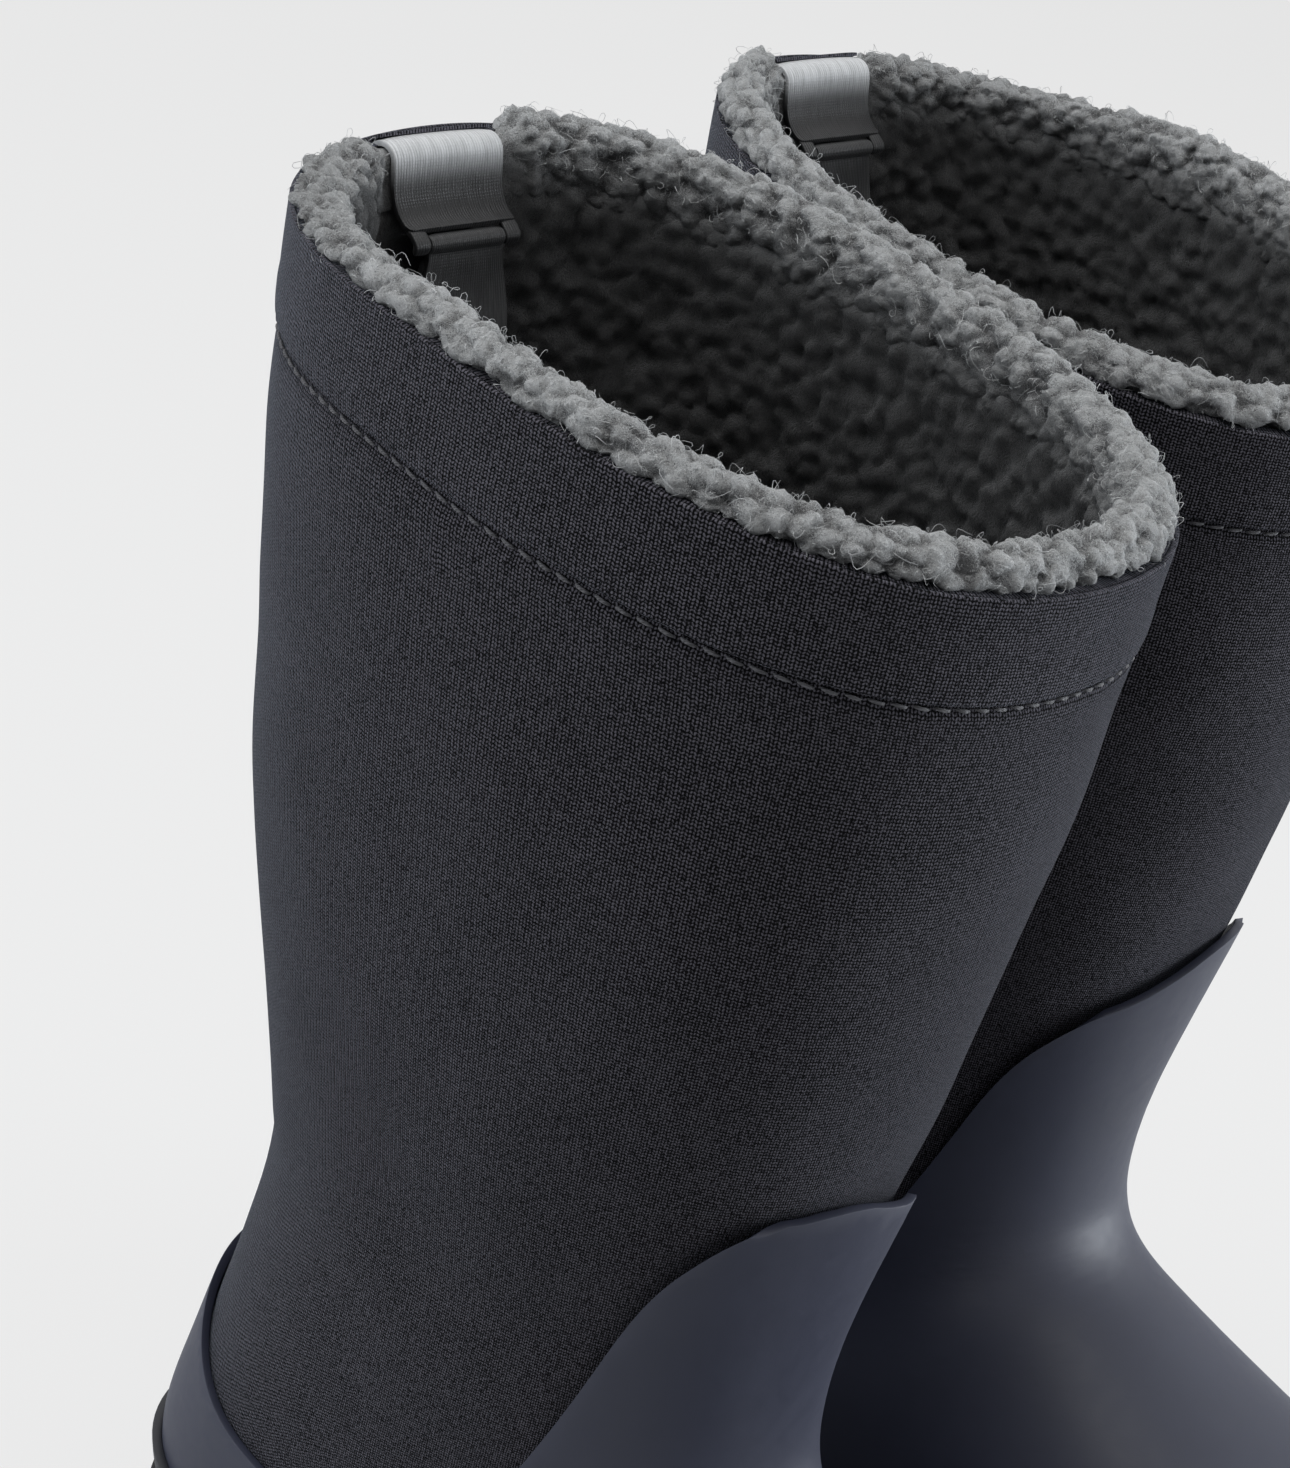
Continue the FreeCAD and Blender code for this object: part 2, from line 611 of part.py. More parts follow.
def pull_loop():
    """Folded webbing loop that swings on the bar tack."""
    eye = across(TACK_RADIUS + STRAP_THICK, Vector(0, 0, 0), EYE_WIDTH)
    half = LOOP_GAP / 2 + STRAP_THICK
    drop = LOOP_LENGTH - half
    plies = Part.makeBox(STRAP_WIDTH, 2 * half, drop, Vector(-STRAP_WIDTH / 2, -half, -drop))
    plies = plies.fuse(across(half, Vector(0, 0, -drop), STRAP_WIDTH))
    opening = Part.makeBox(FAR, LOOP_GAP, drop - LOOP_PINCH, Vector(-FAR / 2, -LOOP_GAP / 2, -drop))
    opening = opening.fuse(across(LOOP_GAP / 2, Vector(0, 0, -drop), FAR))
    opening = opening.fuse(across(LOOP_GAP / 2, Vector(0, 0, -LOOP_PINCH), FAR))
    shoulder = TACK_RADIUS + STRAP_THICK + 2 * LOOP_CLEARANCE
    notch = Part.makeBox(FAR, FAR, FAR, Vector(EYE_WIDTH / 2, -FAR / 2, -shoulder))
    other = Part.makeBox(FAR, FAR, FAR, Vector(-FAR - EYE_WIDTH / 2, -FAR / 2, -shoulder))
    loop = plies.cut(notch).cut(other).fuse(eye)
    loop = loop.cut(opening).cut(across(TACK_RADIUS + LOOP_CLEARANCE, Vector(0, 0, 0), FAR))
    loop.rotate(Vector(0, 0, 0), Vector(1, 0, 0), -LOOP_LEAN)
    loop.translate(tack_centre())
    return loop


# ---------------------------------------------------------------- the pair
PIECES = (
    outsole,
    midsole,
    shank,
    insole_board,
    footbed,
    shaft,
    collar_band,
    lining,
    heel_stiffener,
    toe_puff,
    heel_overlay,
    instep_overlay,
    rand,
    toe_bumper,
    pull_strap,
    loop_tack,
    pull_loop,
)


def build():
    """Every piece of both boots by node name, with the pair's middle over the origin."""
    nodes = {}
    for make in PIECES:
        left = make()
        right = left.mirror(Vector(0, 0, 0), Vector(1, 0, 0))
        left.translate(Vector(PAIR_SPACING / 2, 0, 0))
        right.translate(Vector(-PAIR_SPACING / 2, -RIGHT_AHEAD, 0))
        nodes["left_" + make.__name__] = left
        nodes["right_" + make.__name__] = right
    box = FreeCAD.BoundBox()
    for shape in nodes.values():
        box.add(shape.optimalBoundingBox(False))
    shift = Vector(-box.Center.x, -box.Center.y, -box.ZMin)
    for shape in nodes.values():
        shape.translate(shift)
    return nodes, shift


def main():
    os.makedirs("parts", exist_ok=True)
    nodes, shift = build()
    for name, shape in nodes.items():
        shape.exportStep("parts/" + name + ".step")
    print("pair moved by", shift)


if __name__ == "__main__":
    main()
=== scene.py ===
# %% [markdown]
# Winter yard boots, a lesson in soft goods
#
# This notebook dresses a pair of fleece-lined pull-on boots. The hard facts, such as sizes and what moves,
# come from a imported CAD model. Here each visible layer gets the shape and finish of the real material:
# padded knit, curly pile, webbing, thread and moulded rubber. Everything is in metres, the floor is z = 0,
# the toes point along -Y, and the left boot is on the +X side.

import math
from contextlib import contextmanager

import bmesh
import bpy
import numpy as np
from mathutils import Matrix, Vector
from mathutils.bvhtree import BVHTree


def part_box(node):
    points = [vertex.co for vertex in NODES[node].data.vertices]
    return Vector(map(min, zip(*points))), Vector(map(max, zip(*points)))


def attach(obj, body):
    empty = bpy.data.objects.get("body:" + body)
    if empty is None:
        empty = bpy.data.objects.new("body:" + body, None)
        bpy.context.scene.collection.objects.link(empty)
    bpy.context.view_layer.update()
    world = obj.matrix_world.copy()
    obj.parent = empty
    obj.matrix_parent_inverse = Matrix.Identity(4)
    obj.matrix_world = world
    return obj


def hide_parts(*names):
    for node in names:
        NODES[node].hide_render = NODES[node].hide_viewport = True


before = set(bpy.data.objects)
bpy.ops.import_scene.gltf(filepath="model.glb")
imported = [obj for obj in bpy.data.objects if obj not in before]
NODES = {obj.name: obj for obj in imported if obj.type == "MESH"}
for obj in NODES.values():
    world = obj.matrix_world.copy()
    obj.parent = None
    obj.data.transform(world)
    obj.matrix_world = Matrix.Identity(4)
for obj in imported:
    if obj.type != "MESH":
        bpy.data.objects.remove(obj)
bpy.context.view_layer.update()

# %% [markdown]
# Where things are
#
# Both boots are the same shape, mirrored, so only the left one is modelled and the right one is copied from
# it at the end. The rim of the boot is a squarish oval that rises to the back and slightly outwards.
# These few sizes are the ones that every soft piece is laid out on. They are the part's own sizes, and the
# boot's place is measured on the CAD nodes.

# %% The boot's own sizes and place
tack_low, tack_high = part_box("left_loop_tack")
TACK = (tack_low + tack_high) / 2
TACK_BEHIND = 0.0598415  # from the middle of the rim back to the bar tack
MIDDLE = Vector((TACK.x, TACK.y - TACK_BEHIND, 0))  # floor under the middle of the rim
RIGHT_AHEAD = TACK.y - sum(c.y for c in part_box("right_loop_tack")) / 2

RIM_HEIGHT, RIM_LENGTH, RIM_WIDTH = 0.295, 0.152, 0.118
RIM_DROP, RIM_CANT = 0.0168, 0.0048  # back of the rim over its front, and outer side over inner
ANKLE_HEIGHT, ANKLE_LENGTH, ANKLE_WIDTH, ANKLE_SET_AHEAD = 0.130, 0.112, 0.082, 0.005
RIM_POWER, ANKLE_POWER = 2.37, 2.2  # squareness of the ovals, where 2 is an ellipse
HEM_DEPTH = 0.020  # from the rim down to the sewn line
SHELL, PILE = 0.0035, 0.006  # thickness of the padded fabric and of the pile
print("left boot stands at", tuple(round(c, 4) for c in MIDDLE), "and the right one", round(RIGHT_AHEAD, 4), "ahead")

# %% [markdown]
# Hand tools
#
# Blender's operators act on whatever is selected, so each helper starts by letting go of everything.
# A modifier is added, set and applied in one step, which leaves a plain mesh for the next step. Steps in
# edit mode go inside a "with" block, which comes back to object mode by itself.

# %% Selecting, applying and editing
def deselect():
    if bpy.context.object and bpy.context.object.mode != "OBJECT":
        bpy.ops.object.mode_set(mode="OBJECT")
    bpy.ops.object.select_all(action="DESELECT")


def pick(*pieces):
    deselect()
    for piece in pieces:
        piece.select_set(True)
    bpy.context.view_layer.objects.active = pieces[0]


def apply(piece, kind, **settings):
    """Adds one modifier, sets it and applies it."""
    pick(piece)
    modifier = piece.modifiers.new(kind.lower(), kind)
    for name, value in settings.items():
        setattr(modifier, name, value)
    bpy.ops.object.modifier_apply(modifier=modifier.name)


@contextmanager
def editing(piece, action="SELECT"):
    """Edit mode on one piece, with all of it selected, or none of it where the action is DESELECT."""
    pick(piece)
    bpy.ops.object.mode_set(mode="EDIT")
    bpy.ops.mesh.select_all(action=action)
    yield
    bpy.ops.object.mode_set(mode="OBJECT")


def copy_of(source, name):
    """A free copy of a piece, with a mesh of its own and none of its tags."""
    piece = source.copy()
    piece.data = source.data.copy()
    for key in list(piece.keys()):
        del piece[key]
    piece.parent = None
    piece.name = piece.data.name = name
    bpy.context.scene.collection.objects.link(piece)
    return piece


# %% Points of a mesh
def coordinates(piece, kind="co"):
    """The places of a mesh's points, or their normals where 'kind' is normal."""
    flat = np.empty(len(piece.data.vertices) * 3)
    piece.data.vertices.foreach_get(kind, flat)
    return flat.reshape(-1, 3)


def place(piece, points):
    piece.data.vertices.foreach_set("co", np.asarray(points, float).ravel())
    piece.data.update()


def weigh(piece, name, weights, least):
    """Vertex group with the weights above 'least', for a modifier to read."""
    group = piece.vertex_groups.new(name=name)
    for index, weight in enumerate(weights):
        if weight > least:
            group.add([index], float(weight), "REPLACE")


@contextmanager
def texture_place(*location):
    """An empty object that a texture is measured from, for as long as it is needed."""
    empty = bpy.data.objects.new("texture_place", None)
    empty.location = location
    bpy.context.scene.collection.objects.link(empty)
    yield empty
    bpy.data.objects.remove(empty)


def report(piece):
    triangles = sum(len(f.vertices) - 2 for f in piece.data.polygons)
    print("made", piece.name, "with", triangles, "triangles")
    return piece

# %% [markdown]
# The oval, at even steps
#
# A knit has the same number of stitches all the way round, so the points of each ring are set at even
# lengths along the oval. The helper walks round a very fine oval, adds up the length, and then picks the
# points at equal shares of it.

# %% Even oval
def even_oval(half_width, half_length, power, count):
    """Points (x, y) round an oval, at even lengths, from its outer side towards the back."""
    turn = np.linspace(0, 2 * math.pi, 4001)
    c, s = np.cos(turn), np.sin(turn)
    x = np.sign(c) * np.abs(c) ** (2 / power) * half_width
    y = np.sign(s) * np.abs(s) ** (2 / power) * half_length
    run = np.concatenate([[0], np.cumsum(np.hypot(np.diff(x), np.diff(y)))])
    at = np.arange(count) / count * run[-1]
    return np.stack([np.interp(at, run, x), np.interp(at, run, y)], 1)


# %% Rings of the rim, the shaft and the heel
def rim_ring(out, up, count):
    """Ring round the rim: 'out' from the fabric's face (in, where negative) and 'up' from the rim's plane."""
    oval = even_oval(RIM_WIDTH / 2 + out, RIM_LENGTH / 2 + out, RIM_POWER, count)
    z = RIM_HEIGHT + up + oval[:, 0] * RIM_CANT / RIM_WIDTH + oval[:, 1] * RIM_DROP / RIM_LENGTH
    return np.column_stack([oval[:, 0] + MIDDLE.x, oval[:, 1] + MIDDLE.y, z])


def shaft_ring(share, out, count):
    """Ring round the shaft: share 0 is the ankle and 1 is the rim."""
    flare = math.sin(math.pi / 2 * share)
    half_length = (ANKLE_LENGTH + (RIM_LENGTH - ANKLE_LENGTH) * flare) / 2
    half_width = (ANKLE_WIDTH + (RIM_WIDTH - ANKLE_WIDTH) * flare) / 2
    power = ANKLE_POWER + (RIM_POWER - ANKLE_POWER) * share
    oval = even_oval(half_width + out, half_length + out, power, count)
    z = ANKLE_HEIGHT + (RIM_HEIGHT - ANKLE_HEIGHT) * share
    tilt = share * RIM_DROP / 2 / half_length
    cant = RIM_CANT / RIM_WIDTH * max(0.0, share - 0.5) * 2
    middle = -ANKLE_SET_AHEAD * (1 - share)
    height = z + oval[:, 0] * cant + oval[:, 1] * tilt
    return np.column_stack([oval[:, 0] + MIDDLE.x, oval[:, 1] + middle + MIDDLE.y, height])


def heel_ring(front, back, half_width, out, count):
    """Ring on a slanted plane through two side-view points (y, z), where the shaft turns into the foot."""
    (y0, z0), (y1, z1) = front, back
    half = math.hypot(y1 - y0, z1 - z0) / 2
    oval = even_oval(half_width + out, half + out, ANKLE_POWER, count)
    along = oval[:, 1] / half
    y = (y0 + y1) / 2 + along * (y1 - y0) / 2
    z = (z0 + z1) / 2 + along * (z1 - z0) / 2
    return np.column_stack([oval[:, 0] + MIDDLE.x, y + MIDDLE.y, z])


print("girth of the rim:", round(float(np.linalg.norm(np.diff(rim_ring(0, 0, 400), axis=0), axis=1).sum()), 3), "m")

# %% [markdown]
# Lofting by hand
#
# A sock, a band or a roll of pile is a tube. It starts as one circle, whose edge is extruded ring by ring,
# and each new ring is laid in its place. A whole number on each vertex remembers its turn round the tube,
# and another its ring, so that a UV map in metres can be written at the end. The knit, the webbing and the
# thread all follow that map.

# %% Loft helper
def put_in_order(bm):
    """Sorts points, edges and faces by ring and turn: extrude and bridge leave them in another order each run."""
    turn, row = bm.verts.layers.int["turn"], bm.verts.layers.int["ring"]

    def rank(verts):
        spans = [(min(steps), max(steps)) for steps in zip(*((v[row], v[turn]) for v in verts))]
        ring, step = [high if high - low > 1 else low for low, high in spans]
        return (ring * len(bm.verts) + step) * 2 + (spans[0][0] != spans[0][1])

    bm.verts.sort(key=lambda v: rank([v]))
    for parts in (bm.edges, bm.faces):
        parts.sort(key=lambda part: rank(part.verts))


def loft(name, rings, closed=True):
    """Tube (or, where not closed, a strip) through rings of points, with a UV map in metres."""
    count = len(rings[0])
    deselect()
    bpy.ops.mesh.primitive_circle_add(vertices=count, radius=0.05)
    piece = bpy.context.object
    piece.name = piece.data.name = name
    bpy.ops.object.mode_set(mode="EDIT")
    bm = bmesh.from_edit_mesh(piece.data)
    bm.verts.layers.int.new("turn")
    bm.verts.layers.int.new("ring")
    turn = bm.verts.layers.int["turn"]
    for k, vertex in enumerate(bm.verts):
        vertex[turn] = k
    if not closed:
        last = [e for e in bm.edges if {v[turn] for v in e.verts} == {0, count - 1}]
        bmesh.ops.delete(bm, geom=last, context="EDGES")
    bmesh.update_edit_mesh(piece.data)
    for n, ring in enumerate(rings):
        if n:
            bpy.ops.mesh.extrude_region_move()
        bm = bmesh.from_edit_mesh(piece.data)
        turn, row = bm.verts.layers.int["turn"], bm.verts.layers.int["ring"]
        for vertex in bm.verts:
            if vertex.select:
                vertex.co = ring[vertex[turn]]
                vertex[row] = n
        bmesh.update_edit_mesh(piece.data)
    put_in_order(bm)
    bmesh.update_edit_mesh(piece.data)
    bpy.ops.mesh.select_all(action="SELECT")
    bpy.ops.object.mode_set(mode="OBJECT")
    write_uv(piece, rings, closed)
    return piece


def write_uv(piece, rings, closed):
    """UV map in metres: u along the longest ring, and v from ring to ring."""
    points = np.array(rings, float)
    count = points.shape[1]
    steps = np.linalg.norm(np.diff(points, axis=1), axis=2)
    girth = steps.sum(1).max() * (count / (count - 1) if closed else 1)
    rise = np.linalg.norm(np.diff(points, axis=0), axis=2).mean(1)
    height = np.concatenate([[0], np.cumsum(rise)])
    mesh = piece.data
    turn, row = mesh.attributes["turn"].data, mesh.attributes["ring"].data
    uv = (mesh.uv_layers.active or mesh.uv_layers.new(name="UVMap")).data
    spans = count if closed else count - 1
    for face in mesh.polygons:
        turns = [turn[v].value for v in face.vertices]
        wraps = closed and max(turns) - min(turns) > count / 2
        for corner, vertex, t in zip(face.loop_indices, face.vertices, turns):
            t = t + count if wraps and t < count / 2 else t
            uv[corner].uv = (t / spans * girth, height[row[vertex].value])

# %% [markdown]
# Riding, replacing and mirroring
#
# Each finished piece rides on the CAD body it belongs to, so that it moves with it, and it stands for the
# plain CAD nodes it hides. The right boot's copy is the left piece mirrored about x = 0 and moved ahead.
# A mirror turns a mesh inside out, so the copy's faces are flipped back.

# %% Finishing helpers
def dress(piece, material):
    """Gives a piece its finish, as its only material."""
    piece.data.materials.clear()
    piece.data.materials.append(material)


def smooth(piece, angle=50):
    pick(piece)
    bpy.ops.object.shade_smooth_by_angle(angle=math.radians(angle))


def finish_pair(piece, body, nodes=()):
    """Puts the left piece on its body and makes the right one. 'body' and 'nodes' are named without side."""
    pick(piece)
    bpy.ops.object.duplicate()
    other = bpy.context.object
    other.name = other.data.name = piece.name.replace("left_", "right_")
    other.data.transform(Matrix.Translation((0, -RIGHT_AHEAD, 0)) @ Matrix.Scale(-1, 4, (1, 0, 0)))
    other.data.flip_normals()
    for side, one in (("left_", piece), ("right_", other)):
        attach(one, side + body)
        if nodes:
            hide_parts(*[side + node for node in nodes])
    report(piece)
    return piece, other

# %% [markdown]
# Materials, drawn with nodes
#
# Each finish is a small graph of nodes: coordinates go in, numbers are worked out from them, and the numbers
# drive colour, roughness and bump. The helper classes keep that readable: every method adds one node or a
# few, joins what it is given, and hands back the output. The same helper later draws the graph that strews
# fibres, and the surround.

# %% Node helper
class Graph:
    """A tree of nodes under construction."""

    def __init__(self, tree):
        self.tree = tree

    def set(self, node, inputs):
        """Joins each socket of a node to an output, or gives it a value."""
        for name, value in inputs.items():
            if isinstance(value, bpy.types.NodeSocket):
                self.tree.links.new(value, node.inputs[name])
            else:
                node.inputs[name].default_value = value

    def add(self, kind, inputs={}, **settings):
        node = self.tree.nodes.new(kind)
        for name, value in settings.items():
            setattr(node, name, value)
        self.set(node, inputs)
        return node


class Finish(Graph):
    """A material under construction. An underscore in a socket's name stands for a space."""

    def __init__(self, name, **sockets):
        self.material = bpy.data.materials.new(name)
        self.material.use_nodes = True
        super().__init__(self.material.node_tree)
        self.shader = self.tree.nodes["Principled BSDF"]
        self.set(self.shader, self.spaced(sockets))

    def spaced(self, sockets):
        return {key.replace("_", " "): value for key, value in sockets.items()}

    def math(self, operation, a, b=0.0):
        return self.add("ShaderNodeMath", {0: a, 1: b}, operation=operation).outputs[0]

    def plus(self, a, b):
        return self.math("ADD", a, b)

    def minus(self, a, b):
        return self.math("SUBTRACT", a, b)

    def times(self, a, b):
        return self.math("MULTIPLY", a, b)

    def swing(self, noise, share):
        """How far a noise is from its middle, times a share."""
        return self.times(self.minus(noise, 0.5), share)

    def wave(self, distance, pitch=1.0):
        """0 at every 'pitch' of a distance and 1 halfway between."""
        fold = self.minus(self.times(self.math("FRACT", self.math("DIVIDE", distance, pitch)), 2.0), 1.0)
        return self.minus(1.0, self.math("POWER", self.math("ABSOLUTE", fold), 2.0))

    def uv(self):
        """The UV map's u and v, in millimetres."""
        split = self.add("ShaderNodeSeparateXYZ", {0: self.add("ShaderNodeUVMap").outputs[0]})
        return self.times(split.outputs[0], 1000.0), self.times(split.outputs[1], 1000.0)

    def number(self, name):
        """A number that is written on each point of the mesh."""
        return self.add("ShaderNodeAttribute", attribute_name=name).outputs["Fac"]

    def object(self):
        return self.add("ShaderNodeTexCoord").outputs["Object"]

    def noise(self, size, detail=2.0, where=None, **sockets):
        """Noise whose lumps are about 'size' metres."""
        inputs = {"Vector": where or self.object(), "Scale": 1.0 / size, "Detail": detail, **self.spaced(sockets)}
        return self.add("ShaderNodeTexNoise", inputs).outputs["Fac"]

    def ramp(self, value, *stops):
        """Colour by value: each stop is a position and a colour."""
        node = self.add("ShaderNodeValToRGB", {0: value})
        points = node.color_ramp.elements
        while len(points) < len(stops):
            points.new(0.5)
        for point, (position, colour) in zip(points, stops):
            point.position, point.color = position, (*colour, 1)
        return node.outputs[0]

    def shades(self, value, colour, low, high):
        """One colour in two shades: each is a position and what the colour is multiplied by there."""
        return self.ramp(value, *[(at, tuple(min(1.0, c * by) for c in colour)) for at, by in (low, high)])

    def mix(self, share, a, b):
        return self.add("ShaderNodeMix", {"Factor": share, 6: a, 7: b}, data_type="RGBA").outputs[2]

    def bump(self, height, distance, strength=1.0, under=None):
        inputs = {"Height": height, "Distance": distance, "Strength": strength}
        if under is not None:
            inputs["Normal"] = under
        return self.add("ShaderNodeBump", inputs).outputs[0]

    def done(self, **sockets):
        self.set(self.shader, self.spaced(sockets))
        print("finish", self.material.name, "with", len(self.tree.nodes), "nodes")
        return self.material

# %% [markdown]
# The knit
#
# The shaft is covered in a fine warp knit. Close up it is rows of small V-shaped stitches: columns, called
# wales, 1.3 mm apart, and courses 0.62 mm apart. A wale is folded about its middle, which gives the two arms
# of the V, and the fold shifts the course, which tilts the strands. Where two arms and two courses part, a
# small dark eye shows, and the eyes of neighbouring columns are half a course apart. The strands are paler
# and prouder than the eyes. Fine hair on the yarn gives a blue-grey sheen where the surface turns away.

# %% Knit finish
WALE, COURSE = 1.30, 0.62  # millimetres


def knit_finish(name, pale, dark, sheen):
    f = Finish(name, Roughness=0.85, Specular_IOR_Level=0.08, Sheen_Weight=sheen, Sheen_Roughness=0.20,
               Sheen_Tint=(0.74, 0.84, 1.0, 1))
    u, v = f.uv()
    drift = f.swing(f.noise(0.004, 3.0), 0.55)
    u, v = f.plus(u, drift), f.plus(v, f.times(drift, -1.2))
    fold = f.math("ABSOLUTE", f.minus(f.math("FRACT", f.math("DIVIDE", u, WALE)), 0.5))
    arm = f.wave(u, WALE / 2)
    strand = f.wave(f.plus(f.math("DIVIDE", v, COURSE), fold))
    crossing = f.times(arm, strand)
    eye = f.times(f.minus(1.0, arm), f.minus(1.0, strand))
    height = f.plus(f.times(crossing, 0.40), f.times(f.minus(1.0, eye), 0.60))
    tone = f.times(height, f.plus(f.times(f.noise(0.00045), 1.1), 0.40))
    tone = f.plus(tone, f.swing(f.noise(0.022, 3.0), 0.08))
    fuzz = f.bump(f.noise(0.00025), 0.00006, 0.5)
    return f.done(Base_Color=f.ramp(tone, (0.64, dark), (0.92, pale)), Normal=f.bump(height, 0.00020, 1.0, fuzz))


SHAFT_FABRIC = knit_finish("shaft_fabric", (0.126, 0.120, 0.140), (0.0012, 0.0012, 0.0016), 0.42)
COLLAR_KNIT = knit_finish("collar_knit", (0.138, 0.132, 0.154), (0.0014, 0.0014, 0.0018), 0.44)

# %% [markdown]
# The pile
#
# The lining is a curly pile, like lamb's wool: soft lumps, each of them a swirl of fine fibres. The lumps
# are real geometry, and two numbers are written on each of their points: how far the point stands out of
# the pile, and how far down the boot it lies. The finish reads both. Tips are painted pale and the creases
# between lumps painted dark, a painted highlight and painted shade, and far down the boot all of it is
# painted much darker, which is painted shade.

# %% Pile finish
def pile_finish(name, lit, deep):
    """Colours of crease, middle and tip: the first near the rim, the second far down the boot, where they are painted
    shade; dark creases are painted shade too.
    """
    f = Finish(name, Roughness=0.95, Sheen_Weight=0.3, Sheen_Roughness=0.6)
    lump, depth, where = f.number("lump"), f.number("deep"), f.object()
    swirl = f.noise(0.0012, 3.0, where, Distortion=2.6)
    fibre = f.noise(0.00042, 3.0, where, Distortion=3.2)
    patch = f.noise(0.010, 2.0, where)
    # Pale tips and dark creases from the lump number are painted highlight and painted shade.
    tone = f.plus(f.times(lump, 0.54), f.times(swirl, 0.42))
    tone = f.plus(f.plus(tone, f.swing(fibre, 1.60)), f.swing(patch, 0.30))
    stops = (0.22, 0.45, 0.72)
    # Mixing towards the second colours far down the boot is painted shade.
    colour = f.mix(depth, f.ramp(tone, *zip(stops, lit)), f.ramp(tone, *zip(stops, deep)))
    height = f.plus(f.times(swirl, 0.5), f.times(fibre, 0.5))
    return f.done(Base_Color=colour, Normal=f.bump(height, 0.0016))


# The second, much darker colours are painted shade far down the boot.
PILE_CURL = pile_finish("pile_curl", ((0.13, 0.132, 0.134), (0.52, 0.525, 0.525), (0.86, 0.87, 0.87)),
                        ((0.0015, 0.0015, 0.002), (0.005, 0.005, 0.0055), (0.014, 0.0145, 0.015)))


def fibre_finish(name, colour):
    """Loose fibres, which are too thin for a pattern."""
    f = Finish(name, Roughness=0.9, Sheen_Weight=0.3, Sheen_Roughness=0.5)
    return f.done(Base_Color=f.shades(f.noise(0.004), colour, (0.35, 0.6), (0.65, 1.0)))


PILE_FIBRE = fibre_finish("pile_fibre", (0.72, 0.73, 0.73))

# %% [markdown]
# Webbing, thread, rubber and the hidden plies
#
# Webbing is a flat weave with fine ribs along it. Its colour is painted pale where it turns over the rim, a
# painted highlight, and dark lower down, painted shade, and a number on each of its points says which. The
# rubber is smooth, with a satin gloss and a very fine grain. What lies inside the boot, such as foam, board and
# steel, gets its own finish too, because the pieces can be lifted out of the model one by one.

# %% Webbing and thread finishes
def webbing_finish(name, pressed, worn):
    """Dark and pale yarn colours in two pairs: the first pair is painted shade lower down, the second painted highlight
    at the turn over the rim.
    """
    f = Finish(name, Roughness=0.40, Specular_IOR_Level=0.3, Sheen_Weight=0.1, Sheen_Roughness=0.35)
    u, v = f.uv()
    along = f.add("ShaderNodeCombineXYZ", {0: f.times(u, 1.7), 1: f.times(v, 0.16)}).outputs[0]
    streak = f.noise(1.0, 4.0, along, Roughness=0.7)
    rib = f.wave(f.plus(u, f.times(streak, 0.5)), 0.60)
    weft = f.wave(f.plus(v, f.times(rib, 0.25)), 0.55)
    height = f.times(rib, f.plus(f.times(weft, 0.35), 0.65))
    tone = f.plus(f.times(height, 0.14), streak)
    colours = []
    for dark, pale in (pressed, worn):
        between = tuple((a + b) / 2 for a, b in zip(pale, dark))
        colours.append(f.ramp(tone, (0.42, dark), (0.66, between), (0.95, pale)))
    # The number on each point mixes from the painted shade colours to the painted highlight colours.
    return f.done(Base_Color=f.mix(f.number("worn"), *colours), Normal=f.bump(height, 0.00012, 0.8))


# The first pair of colours is painted shade and the second painted highlight.
WEBBING = webbing_finish("webbing", ((0.006, 0.006, 0.0066), (0.042, 0.0425, 0.044)),
                         ((0.56, 0.565, 0.57), (0.96, 0.97, 0.98)))


def thread_finish(name, colour):
    f = Finish(name, Roughness=0.5, Sheen_Weight=0.2)
    twist = f.add("ShaderNodeTexWave", {"Vector": f.object(), "Scale": 900.0, "Distortion": 1.5},
                  bands_direction="DIAGONAL").outputs["Fac"]
    return f.done(Base_Color=f.shades(twist, colour, (0.0, 0.45), (0.8, 1.0)), Normal=f.bump(twist, 0.0001, 0.8))


STITCH_THREAD = thread_finish("stitch_thread", (0.100, 0.099, 0.110))
TACK_THREAD = thread_finish("tack_thread", (0.16, 0.16, 0.165))


# %% Rubber finishes
def rubber_finish(name, colour, roughness, grain):
    f = Finish(name, Specular_IOR_Level=0.5)
    cloud = f.noise(0.03, 3.0)
    scuff = f.noise(0.0035, 5.0, Distortion=0.6)
    shade = f.shades(f.plus(f.times(cloud, 0.7), f.times(scuff, 0.3)), colour, (0.25, 0.86), (0.75, 1.12))
    rough = f.plus(roughness, f.swing(scuff, 0.16))
    return f.done(Base_Color=shade, Roughness=rough, Normal=f.bump(f.noise(0.0004), grain, 0.6))


OVERLAY_RUBBER = rubber_finish("overlay_rubber", (0.038, 0.042, 0.068), 0.50, 0.00002)
RAND_RUBBER = rubber_finish("rand_rubber", (0.012, 0.013, 0.018), 0.5, 0.00003)
SOLE_RUBBER = rubber_finish("sole_rubber", (0.010, 0.010, 0.011), 0.65, 0.00006)


# %% Finishes of the hidden plies
def plain_finish(name, colour, roughness, size, depth, **more):
    """A quiet finish with speckle: 'size' is the grain in metres and 'depth' the bump."""
    f = Finish(name, Roughness=roughness, **more)
    grain = f.noise(size, 4.0)
    return f.done(Base_Color=f.shades(grain, colour, (0.3, 0.75), (0.7, 1.2)), Normal=f.bump(grain, depth, 0.7))


FOAM = plain_finish("foam", (0.09, 0.09, 0.095), 0.9, 0.0009, 0.0002)
STEEL = plain_finish("steel", (0.42, 0.42, 0.43), 0.34, 0.0006, 0.00002, Metallic=1.0)
BOARD = plain_finish("board", (0.30, 0.21, 0.13), 0.9, 0.0007, 0.0001)
FELT = plain_finish("footbed_felt", (0.10, 0.10, 0.105), 0.97, 0.0005, 0.0003, Sheen_Weight=0.3)
PLASTIC = plain_finish("stiffener_plastic", (0.55, 0.53, 0.48), 0.5, 0.002, 0.00005)

